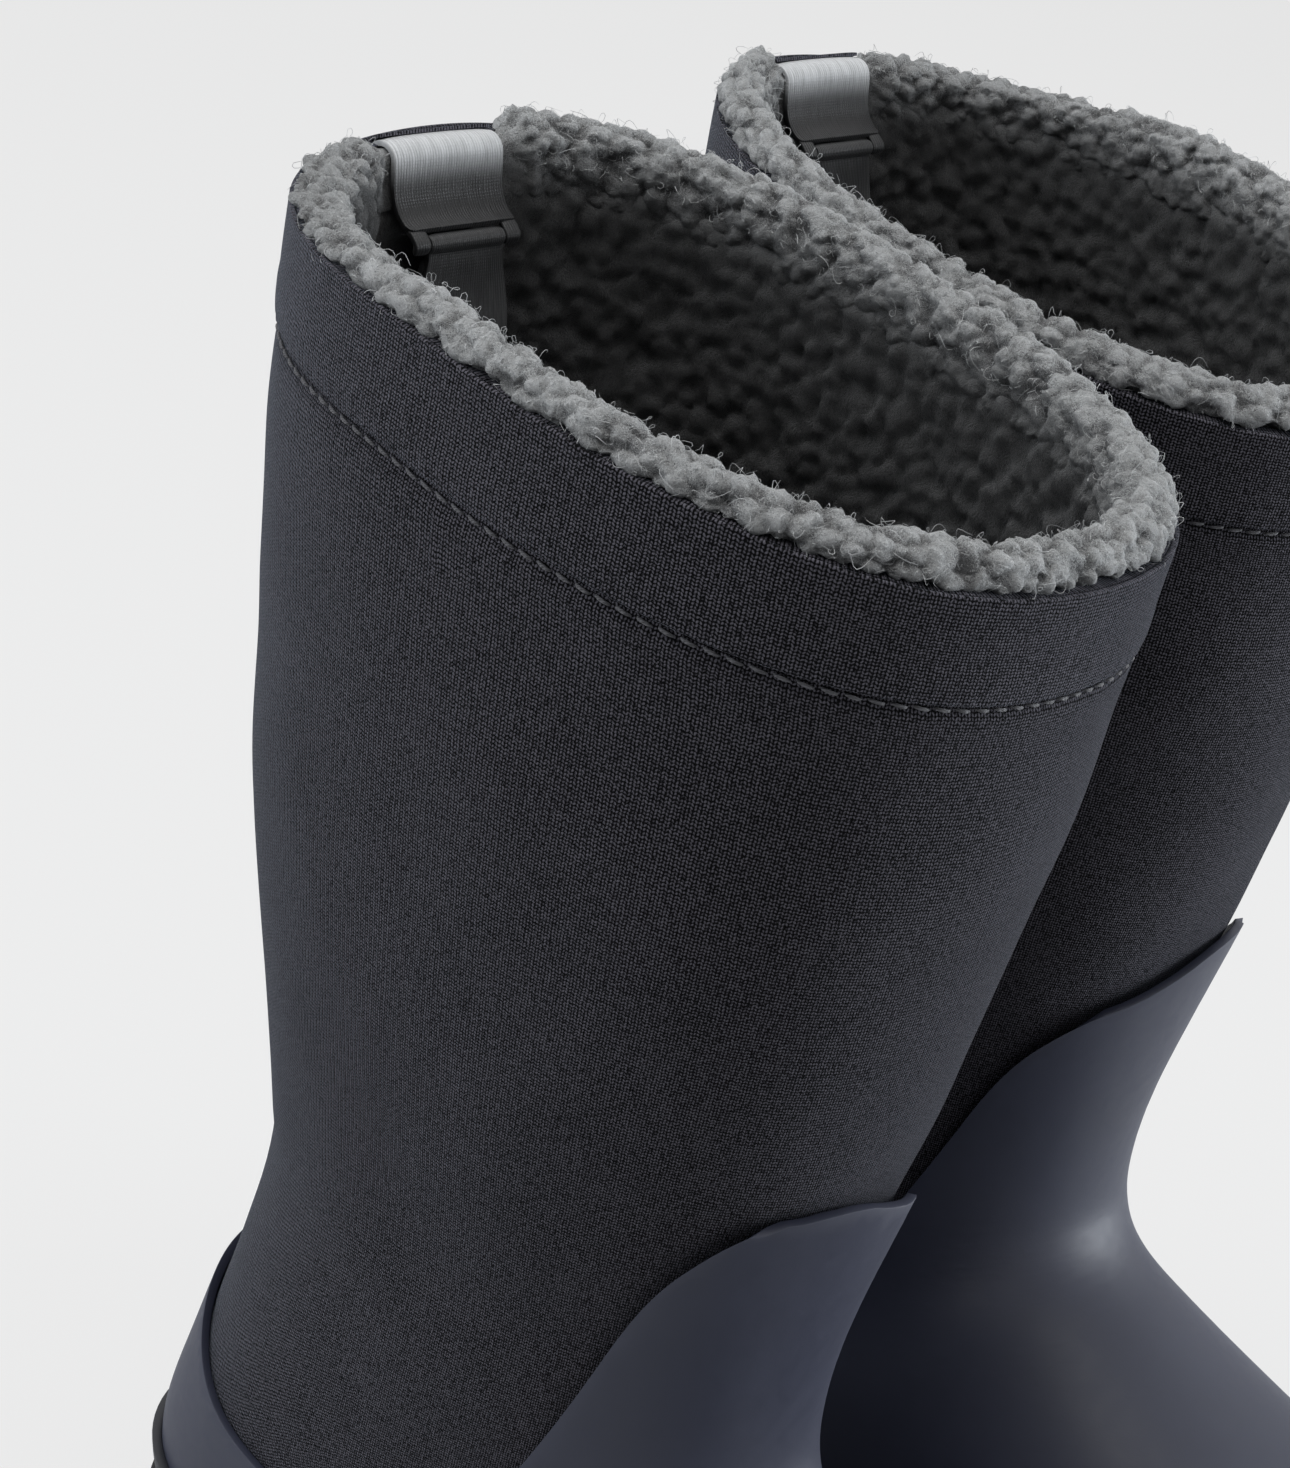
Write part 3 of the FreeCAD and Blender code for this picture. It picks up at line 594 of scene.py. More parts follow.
# %% [markdown]
# The padded shaft
#
# The shaft is one tube of padded fabric, from the rim down to where it goes under the rubber. Its rings are
# laid a little outside the CAD surface and shrunk onto it, which keeps the sunk stitch line. Two levels of
# subdivision make it smooth. Real fabric is never quite even, so the outer face is pressed in a little by
# slow, soft dents, which fade out at the rim and under the rubber. Solidify gives the fabric its thickness.

# %% Rings of the shaft
AROUND = 62  # two stitches of the stitch line to each of these
OUTSIDE = 0.005  # start of the shrinking, outside the surface
SIDE_VIEW = (  # front and back of a slanted ring (y, z) and its half width, in millimetres
    (-61.0, 130.0, 51.0, 130.0, 41.0),
    (-61.6, 111.0, 56.0, 96.2, 40.2),
    (-64.5, 104.2, 61.9, 66.2, 39.8),
    (-69.0, 99.0, 61.9, 39.8, 39.2),
    (-75.7, 94.8, 42.7, 29.0, 39.2),
)


def rows_between(rows, steps):
    """The rows, with 'steps' even steps from each to the next."""
    made = [rows[0]]
    for a, b in zip(rows, rows[1:]):
        made += [tuple(p + (q - p) * i / steps for p, q in zip(a, b)) for i in range(1, steps + 1)]
    return made


def shaft_rings(out, count):
    """Rings from the rim over the sunk line down to the ankle, and on round the heel."""
    depths = (0, 0.006, 0.012, 0.0175, 0.0197, 0.0203, 0.0210, 0.0217, 0.0223, 0.0245)
    rings = [rim_ring(out, -depth, count) for depth in depths]
    rings += [shaft_ring(share, out, count) for share in np.linspace(0.82, 0.0, 14)]
    for y0, z0, y1, z1, half in rows_between(SIDE_VIEW, 2)[1:]:
        front, back = (y0 / 1000, z0 / 1000), (y1 / 1000, z1 / 1000)
        rings.append(heel_ring(front, back, half / 1000, out + 0.002, count))
    return rings


def face_out(piece):
    """Turns the faces of a tube away from the boot's middle line."""
    mesh = piece.data
    total = sum((f.center - MIDDLE).xy.dot(f.normal.xy) for f in mesh.polygons)
    if total < 0:
        mesh.flip_normals()


def shrink_onto(piece, node):
    """Moves each point straight in to the node's surface, and the few that miss it to the nearest place."""
    apply(piece, "SHRINKWRAP", target=NODES[node], wrap_method="PROJECT",
          use_negative_direction=True, use_positive_direction=False, project_limit=0.012)
    apply(piece, "SHRINKWRAP", target=NODES[node], wrap_method="NEAREST_SURFACEPOINT")


shaft = loft("left_shaft_fabric", shaft_rings(OUTSIDE, AROUND))
face_out(shaft)
shrink_onto(shaft, "left_shaft")
apply(shaft, "SUBSURF", levels=2, render_levels=2)
report(shaft)

# %% Soft dents
def ease(value):
    """Smooth step from 0 to 1."""
    value = np.clip(value, 0, 1)
    return value * value * (3 - 2 * value)


def press_in(piece, size, depth, low, high, seed):
    """Slow dents between two heights, never outwards."""
    z = coordinates(piece)[:, 2]
    weigh(piece, "loose", ease(np.clip((z - low) / 0.03, 0, 1) * np.clip((high - z) / 0.03, 0, 1)), 0)
    texture = bpy.data.textures.new("dents", "CLOUDS")
    texture.noise_scale, texture.noise_depth = size, 1
    with texture_place(seed, seed * 0.7, 0) as origin:
        apply(piece, "DISPLACE", texture=texture, texture_coords="OBJECT", texture_coords_object=origin,
              strength=depth, mid_level=1.0, direction="NORMAL", vertex_group="loose")


press_in(shaft, 0.045, 0.0022, 0.11, 0.272, 0.3)
print("dents pressed into", shaft.name)

# %% [markdown]
# How the boot settles
#
# A boot that stands by itself is less even than its drawing: the calf is full, the sewn line tilts, the rim
# droops at its outer back corner, the heel sits down, and the rubber over the instep is drawn out straight.
# Lattices could do this. Here each is a small function that moves points by their place, because the same
# function then moves fabric, band, stitches and pile alike, and they stay on each other.

# %% Fullness, tilt, droop and settling
CALF_FULL = 0.0045
HEM_RISE, HEM_TILT = 0.0003, 0.026  # the tilt is a slope, and only ahead of the middle
RIM_DROOP = 0.0030
HEEL_IN, HEEL_DOWN = 0.0012, 0.0075


def above_plane(points):
    """Height over the rim's plane, with the sign."""
    x, y = points[:, 0] - MIDDLE.x, points[:, 1] - MIDDLE.y
    return points[:, 2] - (RIM_HEIGHT + x * RIM_CANT / RIM_WIDTH + y * RIM_DROP / RIM_LENGTH)


def bow_out(piece):
    """The calf: the back of the shaft bows out between the ankle and the rim."""
    points = coordinates(piece)
    share = np.clip((points[:, 2] - ANKLE_HEIGHT) / (RIM_HEIGHT - HEM_DEPTH - ANKLE_HEIGHT), 0, 1)
    behind = np.clip((points[:, 1] - MIDDLE.y) / (ANKLE_LENGTH / 2), 0, 1)
    points[:, 1] += CALF_FULL * np.sin(math.pi * share**0.6) * behind
    place(piece, points)


def tilt_hem(piece):
    """The sewn line rises towards the toes, and the fabric round it goes with it."""
    points = coordinates(piece)
    depth = -above_plane(points)
    near = ease((depth - 0.003) / 0.014) * (1 - ease((depth - 0.025) / 0.035))
    points[:, 2] += (HEM_RISE - HEM_TILT * np.minimum(points[:, 1] - MIDDLE.y, 0)) * near
    place(piece, points)


def droop_rim(piece):
    """The outer corner of the back hangs a little lower, rim and all."""
    points = coordinates(piece)
    x, y, z = points[:, 0] - MIDDLE.x, points[:, 1] - MIDDLE.y, points[:, 2]
    points[:, 2] -= RIM_DROOP * ease((y - 0.005) / 0.055) * ease((x + 0.022) / 0.055) * ease((z - 0.20) / 0.08)
    place(piece, points)


def settle_heel(piece):
    """Lets the back of the heel, fabric and rubber alike, come down and in a little."""
    points = coordinates(piece)
    y, z = points[:, 1] - MIDDLE.y, points[:, 2]
    near = ease((z - 0.036) / 0.05) * (1 - ease((z - 0.115) / 0.07)) * ease((y + 0.005) / 0.05)
    points[:, 1] -= HEEL_IN * near
    points[:, 2] -= HEEL_DOWN * near
    place(piece, points)


# %% Instep's edge
THROAT_EDGE = (  # place across the boot, outwards, and how far the edge rises there, in millimetres
    (-34.0, -1.5), (-28.0, -3.4), (-22.6, -4.0), (-20.3, -3.0), (-16.2, -1.7), (-13.4, -0.8), (-7.3, 1.4), (1.4, 4.1),
    (6.5, 4.6), (12.0, 4.1), (16.0, 3.1), (19.0, 2.6), (22.5, 0.0), (24.6, -0.2), (30.0, -1.0), (36.0, 0.0),
)


def straighten_throat(piece):
    """Draws the top edge of the instep's rubber out straight, up to its corner."""
    points = coordinates(piece)
    across, rises = np.array(THROAT_EDGE).T / 1000
    rise = np.interp(points[:, 0] - MIDDLE.x, across, rises) * ease((points[:, 2] - 0.135) / 0.030)
    points[:, 1] -= 0.15 * rise
    points[:, 2] += rise
    place(piece, points)


# %% Settled shaft
for settle in (tilt_hem, droop_rim, settle_heel, bow_out):
    settle(shaft)
apply(shaft, "SOLIDIFY", thickness=0.0024, offset=-1.0, use_even_offset=True)
dress(shaft, SHAFT_FABRIC)
smooth(shaft)
report(shaft)

# %% [markdown]
# The foot of the sock
#
# Below the rubber the same fabric goes on right round the foot, where nobody sees it. A copy of the CAD
# node, cut off along the last ring of the tube, does for that. Its triangles are loose, so they are merged
# before the cut.

# %% Copies of CAD nodes, whole or cut
def merged_copy(node, name, cut=None):
    """Copy of a CAD node, merged. 'cut' is a plane, by point and normal: what lies above it is cut away."""
    piece = copy_of(NODES[node], name)
    with editing(piece):
        bpy.ops.mesh.remove_doubles(threshold=0.000005)
        if cut:
            bpy.ops.mesh.bisect(plane_co=cut[0], plane_no=cut[1], clear_outer=True, use_fill=True)
    return piece


# %% Foot of the sock
LAST_RING = Vector((0, MIDDLE.y - 0.0757, 0.0948)), (0, 0.4857, 0.8741)  # front and slant of the tube's last ring
sock = merged_copy("left_shaft", "left_shaft_foot", LAST_RING)
with editing(sock):
    bpy.ops.uv.cube_project(cube_size=1.0)
dress(sock, SHAFT_FABRIC)
smooth(sock)
for piece in (shaft, sock):
    finish_pair(piece, "boot", ["shaft"])

# %% [markdown]
# The collar band
#
# A separate band of the same knit runs round the top and ends at the stitch line, a hair prouder than the
# fabric below. The stitches pull its lower edge in, so it puckers a little between them.

# %% Collar band
STITCHES = 2 * AROUND
band = loft("left_collar_knit", [rim_ring(OUTSIDE, -depth, AROUND) for depth in (0, 0.007, 0.014, HEM_DEPTH)])
face_out(band)
shrink_onto(band, "left_collar_band")
apply(band, "SUBSURF", levels=3, render_levels=3)
band.data.update()

# %% Puckers at its lower edge
uv = np.zeros((len(band.data.vertices), 2))
for face in band.data.polygons:
    for corner, vertex in zip(face.loop_indices, face.vertices):
        uv[vertex] = band.data.uv_layers.active.data[corner].uv
turns = uv[:, 0] / uv[:, 0].max() * 2 * math.pi
edge = np.clip((uv[:, 1] - 0.0125) / 0.0075, 0, 1)
pucker = np.cos(turns * STITCHES)
wander = np.sin(turns * 23) * 0.4 + np.sin(turns * 9 + 1) * 0.6
push = edge**2 * (0.00010 * pucker - 0.00026) + edge * (1 - edge) * 0.0009 + edge * wander * 0.00008
place(band, coordinates(band) + coordinates(band, "normal") * push[:, None])
tilt_hem(band)
droop_rim(band)
apply(band, "SOLIDIFY", thickness=0.0009, offset=-1.0, use_even_offset=True)
apply(band, "BEVEL", width=0.00025, segments=2, limit_method="ANGLE", angle_limit=math.radians(60))
dress(band, COLLAR_KNIT)
smooth(band)
finish_pair(band, "boot", ["collar_band"])

# %% [markdown]
# The stitch line
#
# The stitches lie in the sunk line just under the band. One stitch is modelled as a short, bent, rounded
# rod of thread, then copied all the way round. Each copy is turned to run along the oval, and leans a little
# as a lockstitch does.

# %% Rods of thread and fibre
def rod(name, points, radii, sides):
    """Rounded rod along a few points."""
    points = [Vector(p) for p in points]
    rings = []
    for n, (point, radius) in enumerate(zip(points, radii)):
        ahead = (points[min(n + 1, len(points) - 1)] - points[max(n - 1, 0)]).normalized()
        side = ahead.orthogonal().normalized() if n == 0 else (side - ahead * side.dot(ahead)).normalized()
        up = ahead.cross(side)
        turns = [2 * math.pi * k / sides for k in range(sides)]
        rings.append([point + (side * math.cos(t) + up * math.sin(t)) * radius for t in turns])
    piece = loft(name, rings)
    with editing(piece, "DESELECT"):
        bpy.ops.mesh.select_non_manifold()
        bpy.ops.mesh.fill_holes(sides=sides)
        bpy.ops.mesh.select_all(action="SELECT")
        bpy.ops.mesh.normals_make_consistent(inside=False)
    return piece


# %% One stitch, and where they all sit
STITCH_LENGTH, STITCH_RISE, STITCH_RADIUS, STITCH_LEAN = 0.0027, 0.0004, 0.00030, math.radians(7)
STITCH_LINE = -0.0210  # from the rim's plane
BEND = (  # along, up and thickness of a stitch, in shares
    (-1.0, -0.8, 0.25), (-0.85, -0.1, 0.75), (-0.4, 0.35, 1.0), (0.0, 0.45, 1.05),
    (0.4, 0.35, 1.0), (0.85, -0.1, 0.75), (1.0, -0.8, 0.25),
)
stitch = rod("stitch", [(x * STITCH_LENGTH / 2, 0, z * STITCH_RISE) for x, z, _ in BEND],
             [STITCH_RADIUS * thick for _, _, thick in BEND], 6)
outside, inside = rim_ring(OUTSIDE, STITCH_LINE, STITCHES), rim_ring(-OUTSIDE, STITCH_LINE, STITCHES)
solid = NODES["left_shaft"].data
surface = BVHTree.FromPolygons([v.co for v in solid.vertices], [f.vertices for f in solid.polygons])
hits = [surface.ray_cast(Vector(a), Vector(b - a).normalized()) for a, b in zip(outside, inside)]
seats = np.array([spot + facing * 0.0001 for spot, facing, _, _ in hits])
print(len(seats), "stitches, 1 every", round(float(np.linalg.norm(seats[1] - seats[0])) * 1000, 2), "mm")

# %% The whole line
copies = []
for seat, along in zip(seats, np.roll(seats, -1, axis=0) - np.roll(seats, 1, axis=0)):
    one = copy_of(stitch, "stitch")
    x = Vector(along).normalized()
    out = x.cross(Vector((0, 0, 1))).normalized()
    lean = Matrix.Rotation(STITCH_LEAN, 3, out)
    turned = lean @ Matrix((x, out.cross(x), out)).transposed()
    one.data.transform(Matrix.Translation(seat) @ turned.to_4x4())
    copies.append(one)
bpy.data.objects.remove(stitch)
pick(*copies)
bpy.ops.object.join()
stitches = bpy.context.object
stitches.name = stitches.data.name = "left_rim_stitches"
tilt_hem(stitches)
droop_rim(stitches)
dress(stitches, STITCH_THREAD)
smooth(stitches, 60)
finish_pair(stitches, "boot")

# %% [markdown]
# The pile: roll and wall
#
# The pile comes up inside the shaft and is turned out over the rim in a roll. Roll and wall are closed tubes:
# their rings go round the roll, down the inside and back up the hidden side. The curly lumps are pushed out
# by a cell pattern. The square of the distance from a cell's middle, taken away, makes each cell a round
# dome, with a sharp crease between it and the next. Domes of half the size lie on those, and a slower cloud
# bends them all. Under the pull strap the pile is pressed flat and drawn back.

# %% Marks and curly lumps
def mark(piece, name, values):
    """Writes a number on every point of a mesh, for a finish or a scatter to read."""
    attribute = piece.data.attributes.new(name, "FLOAT", "POINT")
    attribute.data.foreach_set("value", np.asarray(values, np.float32))


def domes(size):
    """Cell texture whose value grows with the square of the distance from the middle of its cell."""
    texture = bpy.data.textures.new("domes", "VORONOI")
    texture.noise_scale, texture.distance_metric = size, "DISTANCE_SQUARED"
    return texture


def curl(piece, size, height, weight, seed=0.0):
    """Pushes curly lumps out of a surface and marks its tips and creases. 'weight' is for each point."""
    weigh(piece, "curly", weight, 0.01)
    warp = bpy.data.textures.new("warp", "CLOUDS")
    warp.noise_scale, warp.noise_depth = size * 1.1, 1
    before, normals = coordinates(piece), coordinates(piece, "normal")
    with texture_place(seed, seed * 0.3, seed * 0.6) as origin:
        common = dict(texture_coords="OBJECT", texture_coords_object=origin, vertex_group="curly")
        for share, rise in ((1.0, 2.0), (0.5, 0.7)):
            apply(piece, "DISPLACE", texture=domes(size * share), strength=-height * rise, mid_level=0.30,
                  direction="NORMAL", **common)
        apply(piece, "SMOOTH", factor=0.5, iterations=1)
        pushed = ((coordinates(piece) - before) * normals).sum(1)
        apply(piece, "DISPLACE", texture=warp, strength=height * 0.9, mid_level=0.5, direction="RGB_TO_XYZ", **common)
    low, high = np.percentile(pushed, 4), np.percentile(pushed, 97)
    # The lump number makes tips pale and creases dark in the finish: painted highlight and painted shade.
    mark(piece, "lump", np.clip((pushed - low) / (high - low), 0, 1))
    # This number darkens the pile far down the boot in the finish: painted shade.
    mark(piece, "deep", np.clip((-above_plane(before) + 0.0025) / 0.0110, 0, 1) ** 0.62)
    print(piece.name, "lumps rise", round(high * 1000, 2), "mm and sink", round(low * 1000, 2), "mm")


# %% Where the strap presses
STRAP_ARC = (0.0697, 0.2992)  # middle of the strap's turn over the rim (y, z), on the boot's own middle line
STRAP_TURN = 0.0032  # radius of that turn
PILE_TURN = STRAP_TURN - 0.0011  # what the pile under it keeps to
PRESSED_BACK = ((0.2920, 0.2958, 0.2992), (0.0657, 0.0672, 0.0675))  # heights, and how far in pile starts there


def away_from_strap(points, fade=0.0022):
    """0 under the pull strap and its loop, 1 elsewhere."""
    side = np.clip((np.abs(points[:, 0] - MIDDLE.x) - 0.0131) / fade, 0, 1)
    ahead = np.clip((0.045 - (points[:, 1] - MIDDLE.y)) / 0.004, 0, 1)
    low = np.clip((0.2800 - points[:, 2]) / 0.006, 0, 1)
    return np.maximum.reduce([side, ahead, low])


def press_under_strap(piece):
    """Draws the pile in under the turn of the strap, and back behind the part that runs down."""
    points = coordinates(piece)
    pressed = 1 - away_from_strap(points, 0.0045)
    y, z = points[:, 1] - MIDDLE.y - STRAP_ARC[0], points[:, 2] - STRAP_ARC[1]
    reach = np.hypot(y, z)
    shrink = np.where((z > 0) & (reach > PILE_TURN), PILE_TURN / np.maximum(reach, 1e-6), 1.0)
    shrink = 1 + (shrink - 1) * pressed
    points[:, 1] = MIDDLE.y + STRAP_ARC[0] + y * shrink
    points[:, 2] = STRAP_ARC[1] + z * shrink
    ahead = MIDDLE.y + np.interp(points[:, 2], *PRESSED_BACK) - points[:, 1]
    points[:, 1] += np.maximum(ahead, 0) * pressed * (points[:, 2] < STRAP_ARC[1]) * (points[:, 2] > 0.285)
    place(piece, points)


# %% Roll
ROLL_AROUND = 92
ROLL_INSET, ROLL_LIFT = 0.0008, 0.0006  # in from the fabric's face, and up from the rim's plane
ROLL_RADIUS = (SHELL + PILE - ROLL_INSET) / 2
BACK_SAG = 0.0018  # how much lower its top is at the back


def roll_ring(angle):
    """Ring on the roll: 0 degrees is its outer side and 90 its top."""
    turn = math.radians(angle)
    out = -ROLL_INSET - ROLL_RADIUS + ROLL_RADIUS * math.cos(turn)
    ring = rim_ring(out, ROLL_LIFT + ROLL_RADIUS * math.sin(turn), ROLL_AROUND)
    behind = ease((ring[:, 1] - MIDDLE.y - 0.01) / 0.055)
    outer = np.maximum(-0.3, 1 + (ring[:, 0] - MIDDLE.x) / 0.0375)
    ring[:, 2] -= BACK_SAG * behind * outer * max(0.0, math.sin(turn))
    return ring


def pile_tube(name, rings):
    """Loft whose two open ends are bridged, which makes a closed tube of it, made smooth."""
    piece = loft(name, rings)
    with editing(piece, "DESELECT"):
        bpy.ops.mesh.select_non_manifold()
        bpy.ops.mesh.bridge_edge_loops()
        put_in_order(bmesh.from_edit_mesh(piece.data))
        bmesh.update_edit_mesh(piece.data)
        bpy.ops.mesh.select_all(action="SELECT")
        bpy.ops.mesh.normals_make_consistent(inside=False)
    apply(piece, "SUBSURF", levels=3, render_levels=3)
    return piece


rings = [rim_ring(out, up, ROLL_AROUND) for out, up in ((-0.0042, -0.008), (-0.0040, 0.0002))]
rings += [roll_ring(angle) for angle in (-14, 18, 50, 82, 114, 146, 178)]
rings += [rim_ring(out, up, ROLL_AROUND) for out, up in ((-0.0097, -0.003), (-0.0097, -0.0065), (-0.0092, -0.010))]
roll = pile_tube("left_pile_roll", rings)
points = coordinates(roll)
hidden = np.clip((above_plane(points) + 0.0115) / 0.003, 0.25, 1)
curl(roll, 0.0031, 0.0013, away_from_strap(points) * hidden)
droop_rim(roll)
press_under_strap(roll)
report(roll)

# %% Wall of the shaft, and the sock round the foot
def wall(name, around, shares, top=False):
    """Pile wall between two shares of the shaft's height, closed behind."""
    inner = [shaft_ring(share, -0.0097, around) for share in shares]
    outer = [shaft_ring(share, -0.0046, around) for share in (shares[-1], shares[0])]
    if top:
        inner = [rim_ring(-0.0100, -0.0040, around)] + inner
        outer = outer + [rim_ring(-0.0046, -0.0040, around)]
    return pile_tube(name, inner + outer)


wall_high = wall("left_pile_wall", 62, np.linspace(0.92, 0.42, 12), top=True)
curl(wall_high, 0.0034, 0.0013, away_from_strap(coordinates(wall_high)), seed=0.5)
press_under_strap(wall_high)
droop_rim(wall_high)
wall_low = wall("left_pile_leg", 38, np.linspace(0.44, 0.06, 7))
curl(wall_low, 0.0050, 0.0010, np.ones(len(wall_low.data.vertices)), seed=0.7)
pile_foot = merged_copy("left_lining", "left_pile_foot", (Vector((0, 0, 0.141)), (0, 0, 1)))
apply(pile_foot, "REMESH", mode="VOXEL", voxel_size=0.0026)
curl(pile_foot, 0.0050, 0.0006, np.ones(len(pile_foot.data.vertices)), seed=0.9)
for piece in (roll, wall_high, wall_low, pile_foot):
    dress(piece, PILE_CURL)
    smooth(piece, 180)

# %% [markdown]
# Locks and stray fibres
#
# What makes pile look like wool is its edge: little curls and stray fibres that catch the light. A few
# fibres are modelled, each a thin rod that curls over, and geometry nodes strew them over the roll, turned
# at random about the surface's normal. The result is made real, so it is a mesh like any other.

# %% Fibres
def fibre(name, reach, curl_radius, turns, thick, rise, steps=7):
    """A fibre that leaves the pile, curls over and comes back to it."""
    points, radii = [], []
    for share in [i / (steps - 1) for i in range(steps)]:
        turn = 2 * math.pi * turns * share
        x = reach * (share - 0.5) + curl_radius * math.sin(turn)
        y = curl_radius * (1 - math.cos(turn)) * 0.8
        z = -0.0003 + rise * math.sin(math.pi * share) + 0.3 * curl_radius * math.sin(turn * 1.3)
        points.append((x, y, z))
        radii.append(thick * (0.55 + 0.45 * math.sin(math.pi * share)))
    return rod(name, points, radii, 3)


curls = [
    fibre("fibre_a", 0.0016, 0.0005, 0.9, 0.00007, 0.0005),
    fibre("fibre_b", 0.0019, 0.0004, 0.6, 0.00006, 0.0006),
    fibre("fibre_c", 0.0011, 0.0006, 1.1, 0.00007, 0.0004),
    fibre("fibre_d", 0.0022, 0.0005, 0.5, 0.00006, 0.0004),
]
strays = [
    fibre("stray_a", 0.0036, 0.0008, 0.6, 0.00005, 0.0017),
    fibre("stray_b", 0.0026, 0.0009, 0.8, 0.00005, 0.0015),
]
print(len(curls), "curls and", len(strays), "stray hairs to strew")

# %% Strewing
def strew(surface, shapes, name, spacing, density, sizes, tilt, seed):
    """Copies of the shapes all over a surface, by geometry nodes, as one real mesh."""
    box = bpy.data.collections.new(name + "_shapes")
    for shape in shapes:
        for owner in list(shape.users_collection):
            owner.objects.unlink(shape)
        box.objects.link(shape)
    graph = Graph(bpy.data.node_groups.new(name, "GeometryNodeTree"))
    for way in ("INPUT", "OUTPUT"):
        graph.tree.interface.new_socket(name="Geometry", in_out=way, socket_type="NodeSocketGeometry")
    source = graph.add("NodeGroupInput")
    mask = graph.add("GeometryNodeInputNamedAttribute", {"Name": "strewn"}, data_type="FLOAT")
    spread = graph.add("GeometryNodeDistributePointsOnFaces", {
        "Mesh": source.outputs[0], "Distance Min": spacing, "Density Max": density,
        "Density Factor": mask.outputs["Attribute"], "Seed": seed}, distribute_method="POISSON")
    chosen = graph.add("GeometryNodeCollectionInfo", {
        "Collection": box, "Separate Children": True, "Reset Children": True})
    turn = graph.add("FunctionNodeRandomValue", data_type="FLOAT_VECTOR")
    graph.set(turn, {0: (-tilt, -tilt, 0), 1: (tilt, tilt, 2 * math.pi), "Seed": seed + 1})
    turned = graph.add("FunctionNodeRotateRotation", {
        "Rotation": spread.outputs["Rotation"], "Rotate By": turn.outputs[0]}, rotation_space="LOCAL")
    size = graph.add("FunctionNodeRandomValue", {2: sizes[0], 3: sizes[1], "Seed": seed + 2}, data_type="FLOAT")
    copies = graph.add("GeometryNodeInstanceOnPoints", {
        "Points": spread.outputs["Points"], "Instance": chosen.outputs[0], "Pick Instance": True,
        "Rotation": turned.outputs[0], "Scale": size.outputs[1]})
    real = graph.add("GeometryNodeRealizeInstances", {0: copies.outputs[0]})
    graph.add("NodeGroupOutput", {0: real.outputs[0]})
    piece = copy_of(surface, name)
    apply(piece, "NODES", node_group=graph.tree)
    for shape in shapes:
        bpy.data.objects.remove(shape)
    bpy.data.collections.remove(box)
    dress(piece, PILE_FIBRE)
    return report(piece)


# %% Fluff and hairs on the roll
points = coordinates(roll)
strewn = np.clip((above_plane(points) + 0.004) / 0.002, 0, 1) * (away_from_strap(points, 0.0010) > 0.9)
mark(roll, "strewn", strewn)
fluff = strew(roll, curls, "left_pile_fluff", 0.0015, 3.0e6, (0.6, 1.1), 0.35, 4)
hairs = strew(roll, strays, "left_pile_hairs", 0.0025, 2.0e6, (0.6, 1.2), 0.9, 9)
for piece in (roll, wall_high, wall_low, pile_foot):
    finish_pair(piece, "boot", ["lining"])
for piece in (fluff, hairs):
    finish_pair(piece, "boot")

# %% [markdown]
# The pull strap
#
# The webbing strap comes up between fabric and pile at the back of the rim, goes over it and sinks through
# the pile down to a bar tack. It is a strip of 13 points across, lofted along its side view. Its middle stands
# a little higher than its edges at the turn. Its height sets its colour: the turn is painted pale, a painted
# highlight, and the foot is painted dark, painted shade. The tack is wound with thread, and the strap's two
# tabs hook over its ends.

# %% Strips of webbing
PLY = 0.0010  # thickness of the webbing
KNUCKLE = 1.25  # radius of webbing round the tack, in millimetres


def arc(y, z, radius, start, end, steps):
    turns = np.radians(np.linspace(start, end, steps))
    return [(y + radius * math.cos(t), z + radius * math.sin(t)) for t in turns]


def strip(name, rows, at, middle=0.0, count=13):
    """Open strip through rows of (y, z, width, crown), in millimetres; the crown lifts its middle off the path."""
    table = np.array(rows) / 1000
    path = table[:, :2]
    ahead = np.gradient(path, axis=0)
    ahead /= np.linalg.norm(ahead, axis=1)[:, None]
    normal = np.stack([ahead[:, 1], -ahead[:, 0]], 1)
    share = np.linspace(-1, 1, count)
    tuck = 0.0002 * np.clip(np.abs(share) - 0.85, 0, 1) / 0.15  # the selvedge turns under
    rings = []
    for point, side, (width, crown) in zip(path, normal, table[:, 2:]):
        lift = crown * (1 - share**2) - tuck
        x = at.x + middle + share * width / 2
        rings.append(np.column_stack([x, at.y + point[0] + side[0] * lift, at.z + point[1] + side[1] * lift]))
    return loft(name, rings, closed=False)


def thicken(piece, levels=2):
    apply(piece, "SUBSURF", levels=levels, render_levels=levels)
    apply(piece, "SOLIDIFY", thickness=PLY, offset=0.0, use_even_offset=True)
    apply(piece, "BEVEL", width=0.0003, segments=2, limit_method="ANGLE", angle_limit=math.radians(60))
    dress(piece, WEBBING)
    smooth(piece)


# %% Strap
turn_y, turn_z, turn_radius = STRAP_ARC[0] * 1000, STRAP_ARC[1] * 1000, STRAP_TURN * 1000
TURN_CROWNS = (0.0, 0.0, 0.1, 0.2, 0.25, 0.3, 0.3, 0.3, 0.3, 0.25, 0.2, 0.1, 0.0)
over = [(y, z, 25.0, crown) for (y, z), crown in zip(arc(turn_y, turn_z, turn_radius, -12, 172, 13), TURN_CROWNS)]
down = [
    (66.1, 297.6, 25.0, -0.2),
    (65.8, 295.8, 25.0, -0.3),
    (65.2, 294.0, 24.9, -0.3),
    (64.0, 292.2, 24.7, -0.2),
    (62.2, 290.7, 24.5, 0.0),
    (60.3, 290.25, 24.4, 0.0),
]
strap = strip("left_strap_webbing", over + down, MIDDLE)
thicken(strap)
# Painted highlight at the turn over the rim, fading to painted shade towards the foot.
mark(strap, "worn", ease((coordinates(strap)[:, 2] * 1000 - turn_z + 5.0) / 8.0) ** 1.3)

